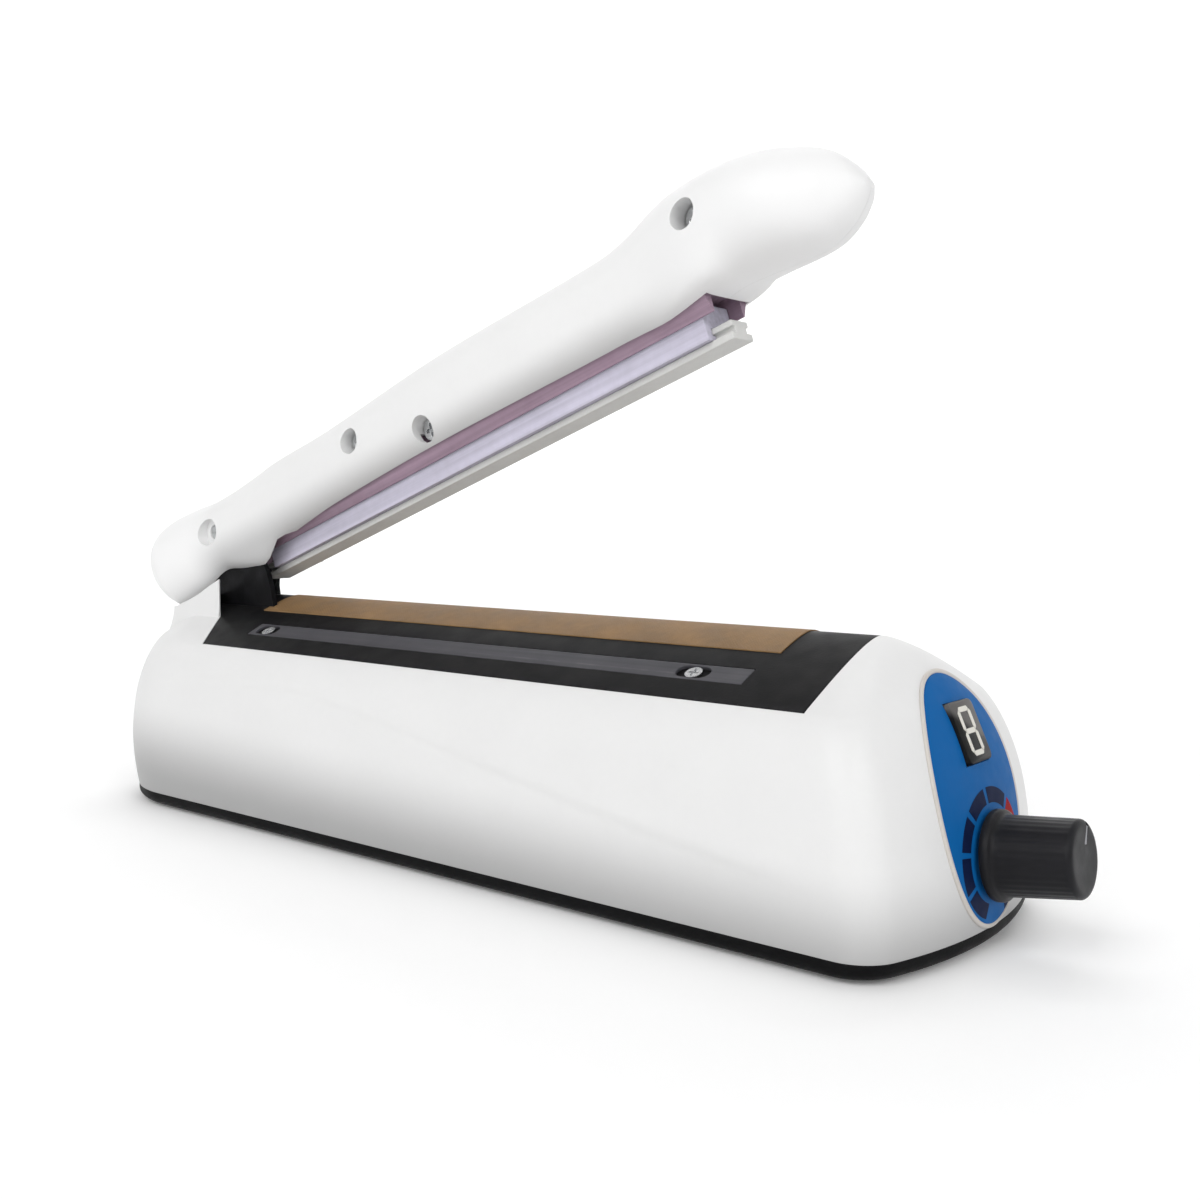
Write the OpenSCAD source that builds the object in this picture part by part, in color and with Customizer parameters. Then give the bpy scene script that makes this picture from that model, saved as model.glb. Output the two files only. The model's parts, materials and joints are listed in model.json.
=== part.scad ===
// Hand-operated impulse heat sealer: a long rounded base with a heated strip
// along its ridge, a hinged press arm with a rubber-faced bar, and a timer
// panel with a display and a knob on the nose.
// X runs along the strip towards the panel, Z is up, and the origin lies
// under the middle of the strip on the plane that the feet stand on.

/* [Sealing strip] */
// Length of the sealing strip
seal_len = 200; // [160:1:260]
// Width of the release tape over the ridge
tape_w = 28; // [22:1:32]
// Thickness of the release tape
tape_t = 0.3; // [0.2:0.05:0.5]
// Width of the heating band
band_w = 3; // [2:0.5:5]
// Thickness of the heating band
band_t = 0.4; // [0.2:0.1:0.6]
// Width of the insulating underlay
underlay_w = 6; // [4:0.5:6]
// Thickness of the insulating underlay
underlay_t = 0.8; // [0.5:0.1:1.2]

/* [Base body] */
// Width of the body at the base band
body_w = 85.6; // [80:0.2:96]
// Height of the body's ridge above the table
ridge_z = 68.6; // [64:0.2:74]
// Wall of the body shell
shell_wall = 2.2; // [1.6:0.1:3]
// Height of the black base band above the table
band_h = 5; // [4:0.2:8]
// Strip end to the tip of the nose
nose_margin = 46.2; // [42:0.2:52]
// Strip end to the rear end of the base
rear_margin = 58.5; // [54:0.5:66]
// Outward swell of the sides between base and shoulder
side_swell = 1.6; // [0.5:0.1:2.4]
// Plan radius of the nose
nose_r = 112; // [90:1:150]
// Plan radius of the nose's side corners
nose_corner_r = 11; // [8:0.5:16]
// Plan radius of the rear corners
rear_corner_r = 41; // [34:0.5:42]
// Floor of the base pan
pan_floor = 2.4; // [1.6:0.1:3]
// Height of the feet below the base pan
foot_proud = 0.8; // [0.6:0.1:1.5]
// Diameter of a rubber foot
foot_d = 14; // [10:0.5:18]
// Bore of the cord gland
gland_bore = 7; // [6:0.1:8]

/* [Top plate] */
// Strip middle to the side edge of the black plate
plate_half_w = 34.2; // [32:0.2:36]
// Height of the plate's side edge
plate_edge_z = 54.5; // [52:0.2:57]
// Thickness of the plate
plate_t = 2.6; // [2.2:0.1:3.2]
// Strip end to the front end of the plate
plate_front = 18.3; // [14:0.1:22]
// Strip end to the plate's rear corner
plate_rear = 5; // [3:0.5:8]
// Width of a grey clamp strip
clamp_w = 6.6; // [5:0.1:8]
// Thickness of a clamp strip
clamp_t = 1; // [0.8:0.1:1.4]
// Outer width of the hinge tower
tower_w = 23; // [22:0.2:23.4]
// Wall of the hinge tower
tower_wall = 1.8; // [1.4:0.1:2]

/* [Press arm] */
// Angle of the raised arm above closed
open_angle = 19.2; // [12:0.1:24]
// Strip end to the hinge axis
pivot_margin = 27.5; // [25:0.5:30]
// Strip end to the tip of the grip
grip_overhang = 27.9; // [22:0.1:40]
// Length of the arm behind the hinge axis
tail_len = 41.6; // [40:0.2:44]
// Wall of the arm shells
arm_wall = 2.2; // [1.8:0.1:2.6]
// Diameter of the hinge pin
pin_d = 5; // [4:0.2:6]
// Diameter of the screw wells in the arm
well_d = 8; // [7:0.2:9]
// Width of the rubber strip's face
rubber_w = 9; // [7:0.2:10]
// Height of the rubber strip's face flange
rubber_t = 2; // [1.5:0.1:3]
// Width of the rubber holder
holder_w = 12.4; // [11.4:0.2:13]
// Height of the holder that shows below the press rail
holder_show = 5.9; // [5:0.1:7]
// Travel of the press bar against its springs
float_travel = 2; // [1:0.1:2.2]

/* [Control panel] */
// Width of the blue panel
panel_w = 39.6; // [36:0.2:42]
// Height of the blue panel
panel_h = 55; // [50:0.5:58]
// Height of the panel's middle
panel_z = 33.4; // [32:0.2:36]
// How far the panel stands proud of the nose
panel_proud = 0.5; // [0.3:0.1:0.8]
// Height of the knob's axis at the panel
knob_z = 21.3; // [20:0.1:24]
// Upward tilt of the knob's axis
knob_tilt = 7; // [4:0.5:12]
// Diameter of the knob's skirt
skirt_d = 20.5; // [18:0.1:22]
// Diameter of the knob's cap
knob_d = 17.2; // [14:0.1:18]
// Length of the knob from skirt to end
knob_len = 19.6; // [15:0.1:22]
// Height of the display's middle
display_z = 48.4; // [46:0.2:50]
// Backward lean of the display
display_lean = 24; // [18:0.5:28]
// Width of the display window
display_w = 12; // [11:0.1:14]
// Height of the display window
display_h = 14.4; // [13:0.1:15]

/* [Hidden] */

// Clearances
fit = 0.15;         // loose fit of fixed pieces
run = 0.05;         // radial running fit of pins and shafts
slide = 0.3;        // gap between sliding pieces
press_clear = 0.3;  // gap between rubber and tape with the arm closed
eps = 0.01;         // overlap of cutting tools
far = 200;          // reach of cutting tools

// Places along the strip
seal_end = seal_len / 2;
nose_x = seal_end + nose_margin;
rear_x = -seal_end - rear_margin;
plate_x1 = seal_end + plate_front;
plate_x0 = -seal_end - plate_rear;
pivot_x = -seal_end - pivot_margin;
arm_len = pivot_margin + seal_len + grip_overhang;

// Heights below the hinge axis, measured square to the arm
rail_drop = 12.9;                              // lower lip of the press rail
holder_drop = rail_drop + holder_show;         // underside of the holder
rubber_drop = holder_drop + rubber_t;          // face of the rubber
pivot_z = ridge_z + tape_t + press_clear + rubber_drop;

half_w = body_w / 2;
black = "#1e1e20";
white = "#eeeeec";
steel = "#b9bcc0";
brass = "#c8a050";

// Curves
function bez(p, t) = len(p) == 1 ? p[0]
    : bez([for (i = [0 : len(p) - 2]) p[i] * (1 - t) + p[i + 1] * t], t);
function span(u, c, i = 0) = (i >= len(c) - 2 || u < c[i + 1][0]) ? i : span(u, c, i + 1);
function slope(c, i) = let (a = max(i - 1, 0), b = min(i + 1, len(c) - 1))
    (c[b][1] - c[a][1]) / (c[b][0] - c[a][0]);
// Smooth curve through the points c, read at u
function along(u, c) = let (
    i = span(u, c),
    h = c[i + 1][0] - c[i][0],
    s = min(max((u - c[i][0]) / h, 0), 1))
    (1 + 2 * s) * (1 - s) * (1 - s) * c[i][1] + s * (1 - s) * (1 - s) * h * slope(c, i)
    + s * s * (3 - 2 * s) * c[i + 1][1] - s * s * (1 - s) * h * slope(c, i + 1);

// Closed skin over a list of rings with equal point counts
module skin(rings) {
    n = len(rings[0]);
    m = len(rings);
    polyhedron(
        points = [for (r = rings) for (p = r) p],
        faces = concat(
            [[for (j = [0 : n - 1]) j]],
            [[for (j = [n - 1 : -1 : 0]) (m - 1) * n + j]],
            [for (i = [0 : m - 2]) for (j = [0 : n - 1])
                [i * n + j, (i + 1) * n + (j + 1) % n, i * n + (j + 1) % n]],
            [for (i = [0 : m - 2]) for (j = [0 : n - 1])
                [i * n + j, (i + 1) * n + j, (i + 1) * n + (j + 1) % n]]));
}

// Round tube along a path that winds about an axis
module tube(path, axis, r, sides = 6) {
    m = len(path);
    skin([for (i = [0 : m - 1]) let (
        d = path[min(i + 1, m - 1)] - path[max(i - 1, 0)],
        t = d / norm(d),
        c = cross(t, axis),
        b = c / norm(c),
        n = cross(b, t))
        [for (k = [0 : sides - 1]) path[i] + r * (cos(360 * k / sides) * b - sin(360 * k / sides) * n)]]);
}

// Body form: a section curve of half width against height, swept round a
// plan outline with a broad nose and a round rear
side_curve = [
    [half_w, band_h], [half_w + side_swell, band_h + 16],
    [half_w + side_swell, plate_edge_z - 9], [plate_half_w, plate_edge_z]
];
crown_y = 7.1;
roof_curve = [[plate_half_w, plate_edge_z], [crown_y, ridge_z], [0, ridge_z]];
// Nose and rear profiles as height against place
nose_curve = [
    [nose_x, 0], [nose_x + 4.3, 25], [nose_x - 4.2, 52],
    [nose_x - 12.2, ridge_z - 2.5], [nose_x - 29, ridge_z + 0.5]
];
rear_curve = [
    [rear_x, 0], [rear_x - 7.5, 18], [rear_x - 5.5, 42], [rear_x + 2, 55],
    [rear_x + 9, ridge_z - 7], [rear_x + 18, ridge_z - 3], [rear_x + 30, ridge_z + 0.5]
];
curve_steps = 24;
function profile(c) = [for (i = [0 : curve_steps]) let (p = bez(c, i / curve_steps)) [p[1], p[0]]];
nose_table = profile(nose_curve);
rear_table = profile(rear_curve);

function section(t) = t <= 1 ? bez(side_curve, t) : bez(roof_curve, t - 1);
function section_out(t) = let (
    d = section(min(t + 0.01, 2)) - section(max(t - 0.01, 0)))
    [d[1], -d[0]] / norm(d);

// Half outline of one end, from its tip to the straight side
function end_half(tip, big, small, w, dir, n) = let (
    r = min(small, w * 0.95),
    cap = max(big, w * 1.001),
    d = sqrt(max((cap - r) * (cap - r) - (w - r) * (w - r), 0)),
    turn = atan2(w - r, d))
    concat(
        [for (i = [0 : n]) let (a = turn * i / n)
            [tip + dir * (cap * cos(a) - cap), cap * sin(a)]],
        [for (i = [1 : n]) let (a = turn + (90 - turn) * i / n)
            [tip + dir * (d - cap + r * cos(a)), w - r + r * sin(a)]]);

function outline(w, front, rear, n) = let (
    k = min(w / half_w, 1),
    a = end_half(front, w + (nose_r - half_w) * pow(k, 2.2), nose_corner_r * sqrt(k), w, 1, n),
    b = end_half(rear, w + 7.2 * pow(k, 2.2), rear_corner_r, w, -1, n),
    half = concat(a, [for (i = [len(b) - 1 : -1 : 0]) b[i]]))
    concat(half, [for (i = [len(half) - 2 : -1 : 1]) [half[i][0], -half[i][1]]]);

function body_ring(t, inset, n) = let (
    s = section(t),
    o = section_out(t),
    w = max(s[0] - inset * o[0], 0.5),
    z = s[1] - inset * o[1])
    [for (p = outline(w, lookup(s[1], nose_table) - inset, lookup(s[1], rear_table) + inset, n))
        [p[0], p[1], z]];

outer_steps = [0, 0.14, 0.3, 0.46, 0.62, 0.76, 0.88, 1, 1.14, 1.28, 1.42, 1.56, 1.7, 1.83, 1.93];
inner_steps = [0, 0.3, 0.62, 0.85, 1, 1.2, 1.45, 1.7, 1.9];

module body_form(inset, steps, n) {
    skin([for (t = steps) body_ring(t, inset, n)]);
}

// Prism along X from a section in Y and Z
module along_x(x0, x1) {
    translate([x0, 0, 0]) rotate([90, 0, 90]) linear_extrude(x1 - x0) children();
}

// Prism along Y, centred, from a profile in X and Z
module along_y(w) {
    translate([0, w / 2, 0]) rotate([90, 0, 0]) linear_extrude(w) children();
}

// Both sides of the middle plane
module both_sides() {
    children();
    mirror([0, 1, 0]) children();
}

// Cross-head screw along Z with its head's underside at the origin
module screw(d, shank, head_d, head_h) {
    slot = head_d * 0.16;
    difference() {
        union() {
            cylinder(d = head_d, h = head_h, $fn = 32);
            translate([0, 0, -shank]) cylinder(d = d, h = shank + eps, $fn = 32);
        }
        for (a = [0, 90]) rotate(a)
            translate([-head_d * 0.32, -slot / 2, head_h * 0.45])
                cube([head_d * 0.64, slot, head_h]);
    }
}

// Base
pan_z = foot_proud;
pan_top = band_h;
foot_x = [rear_x + 45, nose_x - 42];
foot_y = half_w - 14;
post_x = [rear_x + 27, nose_x - 25];
post_y = 23;
post_d = 9;
post_split = 20;
post_screw_d = 3;

module each_post() {
    for (x = post_x, s = [-1, 1]) translate([x, s * post_y, 0]) children();
}

module each_foot() {
    for (x = foot_x, s = [-1, 1]) translate([x, s * foot_y, 0]) children();
}

// Lower edge of the pan, rounded by a few steps of inset and height
pan_round = 3;
module pan_form() {
    skin(concat(
        [for (a = [0 : 30 : 90]) let (dx = pan_round * (1 - sin(a)), z = pan_z + pan_round * (1 - cos(a)))
            [for (p = body_ring(0, dx, 10)) [p[0], p[1], z]]],
        [[for (p = body_ring(0, 0, 10)) [p[0], p[1], pan_top]]]));
}

foot_recess = 1.2;
module base_pan() {
    color(black) difference() {
        union() {
            difference() {
                pan_form();
                skin([for (z = [pan_z + pan_floor, pan_top + 1])
                    [for (p = body_ring(0, shell_wall, 10)) [p[0], p[1], z]]]);
            }
            each_post() translate([0, 0, pan_z + pan_floor - eps])
                cylinder(d = post_d, h = post_split - pan_z - pan_floor + eps, $fn = 32);
            board_posts();
        }
        each_post() {
            translate([0, 0, -1]) cylinder(d = post_screw_d + 2 * fit, h = far, $fn = 32);
            translate([0, 0, -1])
                cylinder(d = post_screw_d * 2 + 2 * fit, h = pan_z + pan_floor + 5, $fn = 32);
        }
        each_foot() cylinder(d = foot_d, h = 2 * (pan_z + foot_recess), center = true, $fn = 48);
    }
}

module rubber_feet() {
    color("#2a2a2c") each_foot() cylinder(d = foot_d - 2 * fit, h = pan_z + foot_recess, $fn = 48);
}

module base_screws() {
    head_z = pan_z + pan_floor + 4;
    color(steel) each_post() translate([0, 0, head_z]) rotate([180, 0, 0])
        screw(post_screw_d, post_split + 10 - head_z, post_screw_d * 2, 2);
}

// Black top plate that carries the strip and the hinge
function roof_points(drop, n = 8) = let (
    half = [for (i = [0 : n]) let (t = 1 + i / n, s = section(t), o = section_out(t)) s - drop * o])
    concat(half, [for (i = [n - 1 : -1 : 0]) [-half[i][0], half[i][1]]]);

tongue_x0 = pivot_x - 19.5;
tongue_x1 = pivot_x + 10.5;
tongue_x2 = pivot_x - 0.5;
collar_half = 19;
function plate_plan(grow) = [
    [plate_x1 + grow, plate_half_w + grow], [plate_x0 - grow, plate_half_w + grow],
    [tongue_x1 - grow, collar_half + grow], [tongue_x2 - grow, tower_w / 2 + grow],
    [tongue_x0 - grow, tower_w / 2 + grow]
];
module plate_outline(grow) {
    p = plate_plan(grow);
    polygon(concat(p, [for (i = [len(p) - 1 : -1 : 0]) [p[i][0], -p[i][1]]]));
}

// Roof layer between two depths below the ridge surface
module roof_layer(top, bottom, x0, x1) {
    along_x(x0, x1) polygon(concat(
        roof_points(top), let (b = roof_points(bottom)) [for (i = [len(b) - 1 : -1 : 0]) b[i]]));
}

// Everything above the plate's underside, for the opening in the shell
module plate_opening() {
    b = roof_points(plate_t);
    intersection() {
        along_x(tongue_x0 - 5, plate_x1 + 5) polygon(concat(
            b, [[-half_w, b[len(b) - 1][1]], [-half_w, far], [half_w, far], [half_w, b[0][1]]]));
        linear_extrude(far) plate_outline(fit);
    }
}

// Frame on the plate's slope: local X along the strip, Y down the slope
clamp_t_at = 1.2;
clamp_at = section(clamp_t_at);
clamp_out = section_out(clamp_t_at);
clamp_tilt = atan2(clamp_out[0], clamp_out[1]);
module on_slope(side) {
    translate([0, side * clamp_at[0], clamp_at[1]]) rotate([-side * clamp_tilt, 0, 0]) children();
}
clamp_x0 = -seal_end + 9;
clamp_x1 = seal_end - 2.5;
clamp_hole_x = [clamp_x0 + 7, clamp_x1 - 15.5];
clamp_slot_len = 9.6;
clamp_slot_w = 4.8;

module clamp_bar(grow) {
    translate([clamp_x0 - grow, -clamp_w / 2 - grow, -clamp_t])
        cube([clamp_x1 - clamp_x0 + 2 * grow, clamp_w + 2 * grow, clamp_t + (grow > 0 ? 3 : 0)]);
}

tower_foot = 8;
// Front edges of the tower's near and far walls from the hinge axis
near_front = 28.5;
far_front = 2;
boss_r = pin_d / 2 + 4;
spring_room = 14;
plunger_x = pivot_x;
plunger_d = 4.4;
// Cam on the arm: radius over the plunger with the arm raised, its rise
// over the arm's whole swing, and its gap to the plunger
cam_r = 12.8;
plunger_travel = 1.6;
cam_gap = 0.4;

// Side wall of the hinge tower in X and Z
module tower_profile(front) {
    foot_z = ridge_z - tower_foot;
    polygon([
        [tongue_x0, foot_z], [tongue_x0, ridge_z - 2], [pivot_x - boss_r, pivot_z - 1],
        [pivot_x, pivot_z + boss_r * 0.9], [pivot_x + boss_r, pivot_z + 0.5],
        [pivot_x + front * 0.67, pivot_z - 6], [pivot_x + front * 0.88, ridge_z + 9.5],
        [pivot_x + front, ridge_z + 2], [pivot_x + front + 1.5, foot_z]
    ]);
    translate([pivot_x, pivot_z]) circle(r = boss_r, $fn = 48);
}
module tower_walls(t) {
    for (s = [-1, 1]) translate([0, s * (tower_w - tower_wall) / 2, 0])
        along_y(t) tower_profile(s < 0 ? near_front : far_front);
}

channel_w = underlay_w + 2 * fit;
band_drop = 0.2;
channel_t = underlay_t + band_t + band_drop;
band_bend_x = seal_end - 3;
module top_plate() {
    color(black) difference() {
        union() {
            difference() {
                union() {
                    intersection() {
                        roof_layer(0, plate_t, tongue_x0, plate_x1);
                        linear_extrude(far) plate_outline(0);
                    }
                    tower_walls(tower_wall);
                    translate([tongue_x0, -tower_w / 2, ridge_z - tower_foot])
                        cube([tower_wall, tower_w, tower_foot - 2]);
                    translate([plunger_x, 0, ridge_z - 7]) cylinder(d = plunger_d + 4, h = 6.5, $fn = 32);
                }
                // channel for the underlay and the heating band
                translate([-seal_end, -channel_w / 2, ridge_z - channel_t])
                    cube([seal_len, channel_w, far]);
            }
            both_sides() translate([pivot_x, spring_room / 2, pivot_z]) rotate([-90, 0, 0])
                cylinder(r = boss_r, h = tower_w / 2 - spring_room / 2 - eps, $fn = 48);
        }
        translate([pivot_x, 0, pivot_z]) rotate([90, 0, 0])
            cylinder(d = pin_d + run, h = tower_w * 2, center = true, $fn = 48);
        translate([plunger_x, 0, 0]) cylinder(d = plunger_d + 4 * run, h = far, $fn = 32);
        for (s = [-1, 1]) translate([s * band_bend_x, 0, ridge_z])
            cube([band_t * 2 + 4 * fit, band_w + 4 * fit, plate_t * 4], center = true);
        for (s = [-1, 1]) on_slope(s) {
            clamp_bar(fit);
            for (x = clamp_hole_x) translate([x, 0, -plate_t * 2])
                cylinder(d = 2.5, h = plate_t * 4, $fn = 32);
        }
        each_plate_screw() cylinder(d = 2.5, h = plate_screw_top, $fn = 32);
    }
}

// Screws up through the shell's ledges into the plate's edges
plate_screw_x = [plate_x0 + 22, plate_x1 - 24];
plate_screw_y = plate_half_w - 3;
plate_screw_top = plate_edge_z + 0.6;
ledge_z = plate_edge_z - 6;
module each_plate_screw() {
    for (x = plate_screw_x, s = [-1, 1]) translate([x, s * plate_screw_y, 0]) children();
}
module plate_screws() {
    color(steel) each_plate_screw() translate([0, 0, ledge_z]) rotate([180, 0, 0])
        screw(2.4, plate_screw_top - ledge_z - 0.2, 5, 1.8);
}

// Collar under the arm's hinge end
// Its tops from the hinge axis: the outer rim, and the inner step under
// the arm's lower edges
rim_line = [[-32, -26.8], [-16.5, -26.2], [-7.8, -23.5], [-1.6, -21.2], [4.4, -18.3], [12, -15]];
step_line = [[-32, -27.4], [-16.5, -26.8], [-7.8, -24.1], [-1.6, -21.8], [4.4, -18.9], [12, -18.9]];
rim_half = 15.5;
neck_x0 = pivot_x - 29.5;
neck_x1 = tongue_x1;
far_neck_x1 = pivot_x - 9;
gland_z = 16;
gland_d = gland_bore + 7;
gland_x = lookup(gland_z, rear_table) + 0.5;
gland_grip = shell_wall - 0.4;

module neck_profile(line) {
    last = line[len(line) - 1];
    translate([pivot_x, pivot_z]) polygon(concat(line, [[last[0], -pivot_z], [line[0][0], -pivot_z]]));
}

collar_base = plate_edge_z - 6;
module collar_plan(grow) {
    r = collar_half + grow;
    translate([neck_x0 + collar_half, 0]) circle(r = r, $fn = 64);
    // the near wall reaches further ahead than the far wall
    translate([neck_x0 + collar_half, -r]) square([neck_x1 - neck_x0 - collar_half + grow, r + eps]);
    translate([neck_x0 + collar_half, 0]) square([far_neck_x1 - neck_x0 - collar_half + grow, r]);
}

// Raised collar with slanting rims, let into the shell's roof
module hinge_collar() {
    color(white) difference() {
        intersection() {
            translate([0, 0, collar_base]) linear_extrude(far) difference() {
                collar_plan(0);
                translate([tongue_x0 - fit, -tower_w / 2 - fit]) square([far, tower_w + 2 * fit]);
            }
            union() {
                along_y(2 * rim_half) neck_profile(step_line);
                both_sides() translate([0, rim_half + collar_half / 2, 0])
                    along_y(collar_half) neck_profile(rim_line);
            }
        }
        plate_opening();
    }
}

// Egg-shaped outline of the control panel in Y and Z
panel_taper = 0.05;
module panel_outline(grow) {
    half = panel_w / 2 + grow;
    tall = panel_h / 2 + grow;
    polygon([for (a = [0 : 10 : 350])
        [half * cos(a) * (1 + panel_taper * sin(a)), panel_z + tall * sin(a)]]);
}

// Body shell
panel_depth = 1;
collar_fit = 0.06;
module body_shell() {
    color(white) difference() {
        body_form(0, outer_steps, 6);
        difference() {
            union() {
                body_form(shell_wall, inner_steps, 4);
                skin([for (z = [band_h - 2, band_h + 1])
                    [for (p = body_ring(0, shell_wall, 4)) [p[0], p[1], z]]]);
            }
            // columns over the base posts
            each_post() translate([0, 0, post_split + fit]) cylinder(d = post_d, h = far, $fn = 32);
            // ledges under the plate's edges
            both_sides() translate([plate_x0 + 8, plate_half_w - 7, ledge_z])
                cube([plate_x1 - plate_x0 - 16, 20, far]);
            // ribs from the rear columns that the collar stands on
            both_sides() translate([post_x[0] - 1.5, collar_half - 4, collar_base - 3])
                cube([3, post_y - collar_half + 4, 3]);
        }
        // seat of the control panel
        difference() {
            along_x(nose_x - 40, nose_x + 20) panel_outline(fit);
            body_form(panel_depth, inner_steps, 6);
        }
        plate_opening();
        translate([0, 0, collar_base]) linear_extrude(far) collar_plan(collar_fit);
        // room for the hinge tower's foot
        translate([tongue_x0 - fit, -tower_w / 2 - fit, ridge_z - tower_foot - fit])
            cube([pivot_x + near_front - tongue_x0, tower_w + 2 * fit, far]);
        each_post() translate([0, 0, post_split - 1]) cylinder(d = post_screw_d + 0.1, h = 14, $fn = 32);
        each_plate_screw() translate([0, 0, ledge_z - 1]) cylinder(d = 2.4 + 2 * fit, h = 30, $fn = 32);
        at_knob() cylinder(d = bush_d + 2 * fit, h = 30, center = true, $fn = 48);
        at_display() display_hole(2 * fit);
        // hole for the gland with flat seats outside and inside
        translate([gland_x, 0, gland_z]) rotate([0, 90, 0]) {
            cylinder(d = gland_d - 3 + 2 * fit, h = 40, center = true, $fn = 48);
            translate([0, 0, -20]) cylinder(d = gland_d + 2 * fit, h = 20, $fn = 48);
            translate([0, 0, gland_grip]) cylinder(d = gland_d + 2 * fit, h = 20, $fn = 48);
        }
    }
}

// Rubber cord gland in the rear wall
gland_flange = 1.6;
module cord_gland() {
    color("#26262a") translate([gland_x - gland_flange, 0, gland_z]) rotate([0, 90, 0]) difference() {
        union() {
            cylinder(d = gland_d, h = gland_flange - 0.1, $fn = 48);
            cylinder(d = gland_d - 3, h = gland_flange + gland_grip + 1, $fn = 48);
            translate([0, 0, gland_flange + gland_grip + 0.1]) cylinder(d = gland_d, h = 2, $fn = 48);
        }
        translate([0, 0, -1]) cylinder(d = gland_bore, h = far, $fn = 48);
    }
}

// Strip layers
module insulating_underlay() {
    color("#d8d2c4") translate([-band_bend_x + 2, -underlay_w / 2, ridge_z - channel_t])
        cube([2 * band_bend_x - 4, underlay_w, underlay_t]);
}

band_leg = 9;
module heating_band() {
    top = ridge_z - band_drop;
    color("#a8a39a") union() {
        translate([-band_bend_x - band_t, -band_w / 2, top - band_t])
            cube([2 * (band_bend_x + band_t), band_w, band_t]);
        for (s = [-1, 1]) translate([s * (band_bend_x + band_t / 2), 0, top - band_leg / 2])
            cube([band_t, band_w, band_leg], center = true);
    }
}

module release_tape() {
    color("#8a6a48") difference() {
        intersection() {
            roof_layer(-tape_t, 0, -seal_end, seal_end);
            translate([-far, -tape_w / 2, 0]) cube([2 * far, tape_w, far]);
        }
        tower_walls(tower_wall + 2 * fit);
    }
}

module clamp_strip(side) {
    color("#58585e") on_slope(side) difference() {
        clamp_bar(0);
        for (x = clamp_hole_x) translate([x, 0, -2 * clamp_t]) {
            translate([-clamp_slot_len / 2 + clamp_slot_w / 2, -clamp_slot_w / 2, 0])
                cube([clamp_slot_len - clamp_slot_w, clamp_slot_w, 4 * clamp_t]);
            for (s = [-1, 1]) translate([s * (clamp_slot_len - clamp_slot_w) / 2, 0, 0])
                cylinder(d = clamp_slot_w, h = 4 * clamp_t, $fn = 32);
        }
    }
}
module near_clamp_strip() { clamp_strip(-1); }
module far_clamp_strip() { clamp_strip(1); }

module clamp_screws() {
    color(steel) for (s = [-1, 1]) on_slope(s) for (x = clamp_hole_x)
        translate([x, 0, -clamp_t]) screw(2.4, 4, clamp_slot_w - 2 * fit, clamp_t * 0.8);
}

// Brass blocks under the plate that hold the band's ends
terminal_size = [9, 7, 8];
terminal_drop = 0.8;
module each_terminal() {
    for (s = [-1, 1]) translate([s * (band_bend_x + band_t / 2), 0, ridge_z - plate_t - terminal_drop])
        children();
}
module band_terminals() {
    t = terminal_size;
    color(brass) difference() {
        each_terminal() translate([-t[0] / 2, -t[1] / 2, -t[2]]) cube(t);
        each_terminal() cube([band_t + 2 * fit, band_w + 2 * fit, 2 * band_leg], center = true);
        each_terminal() translate([0, -t[1], -t[2] * 0.62]) rotate([-90, 0, 0])
            cylinder(d = 2.4, h = t[1] - band_w / 2 - 2 * fit, $fn = 32);
    }
}
module terminal_screws() {
    t = terminal_size;
    color(steel) each_terminal() translate([0, -t[1] / 2, -t[2] * 0.62]) rotate([90, 0, 0])
        screw(2.3, t[1] / 2 - band_w / 2 - 0.4, 4.6, 1.6);
}

// Control panel on the nose
knob_x = lookup(knob_z, nose_table) + panel_proud;
module at_knob() {
    translate([knob_x, 0, knob_z]) rotate([0, 90 - knob_tilt, 0]) children();
}
display_x = lookup(display_z, nose_table) + panel_proud;
module at_display() {
    translate([display_x, 0, display_z]) rotate([0, 90 - display_lean, 0]) children();
}
module display_hole(grow) {
    translate([-display_h / 2 - grow, -display_w / 2 - grow, -12])
        cube([display_h + 2 * grow, display_w + 2 * grow, 24]);
}

module control_panel() {
    color("#1662a5") difference() {
        intersection() {
            along_x(nose_x - 40, nose_x + 20) panel_outline(0);
            difference() {
                body_form(-panel_proud, inner_steps, 6);
                body_form(panel_depth, inner_steps, 6);
            }
        }
        at_knob() cylinder(d = bush_d + 2 * fit, h = 30, center = true, $fn = 48);
        at_display() display_hole(fit);
    }
}

display_depth = 7;
display_top = 0.6;
module display_module() {
    color("#141416") at_display() translate([-display_h / 2, -display_w / 2, display_top - display_depth])
        cube([display_h, display_w, display_depth]);
}

// Seven bars of one digit, standing just proud of the window
digit_h = 11.4;
digit_w = 6.4;
bar_w = 1.2;
bar_t = 0.15;
module display_segments() {
    gap = 0.25;
    color("#e9e6da") at_display() translate([0, 0, display_top]) {
        for (k = [-1, 0, 1]) translate([k * (digit_h - bar_w) / 2, 0, bar_t / 2])
            cube([bar_w, digit_w - bar_w - 2 * gap, bar_t], center = true);
        for (k = [-1, 1], s = [-1, 1])
            translate([k * (digit_h - bar_w) / 4, s * (digit_w - bar_w) / 2, bar_t / 2])
                cube([(digit_h - bar_w) / 2 - bar_w - gap, bar_w, bar_t], center = true);
    }
}

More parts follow.
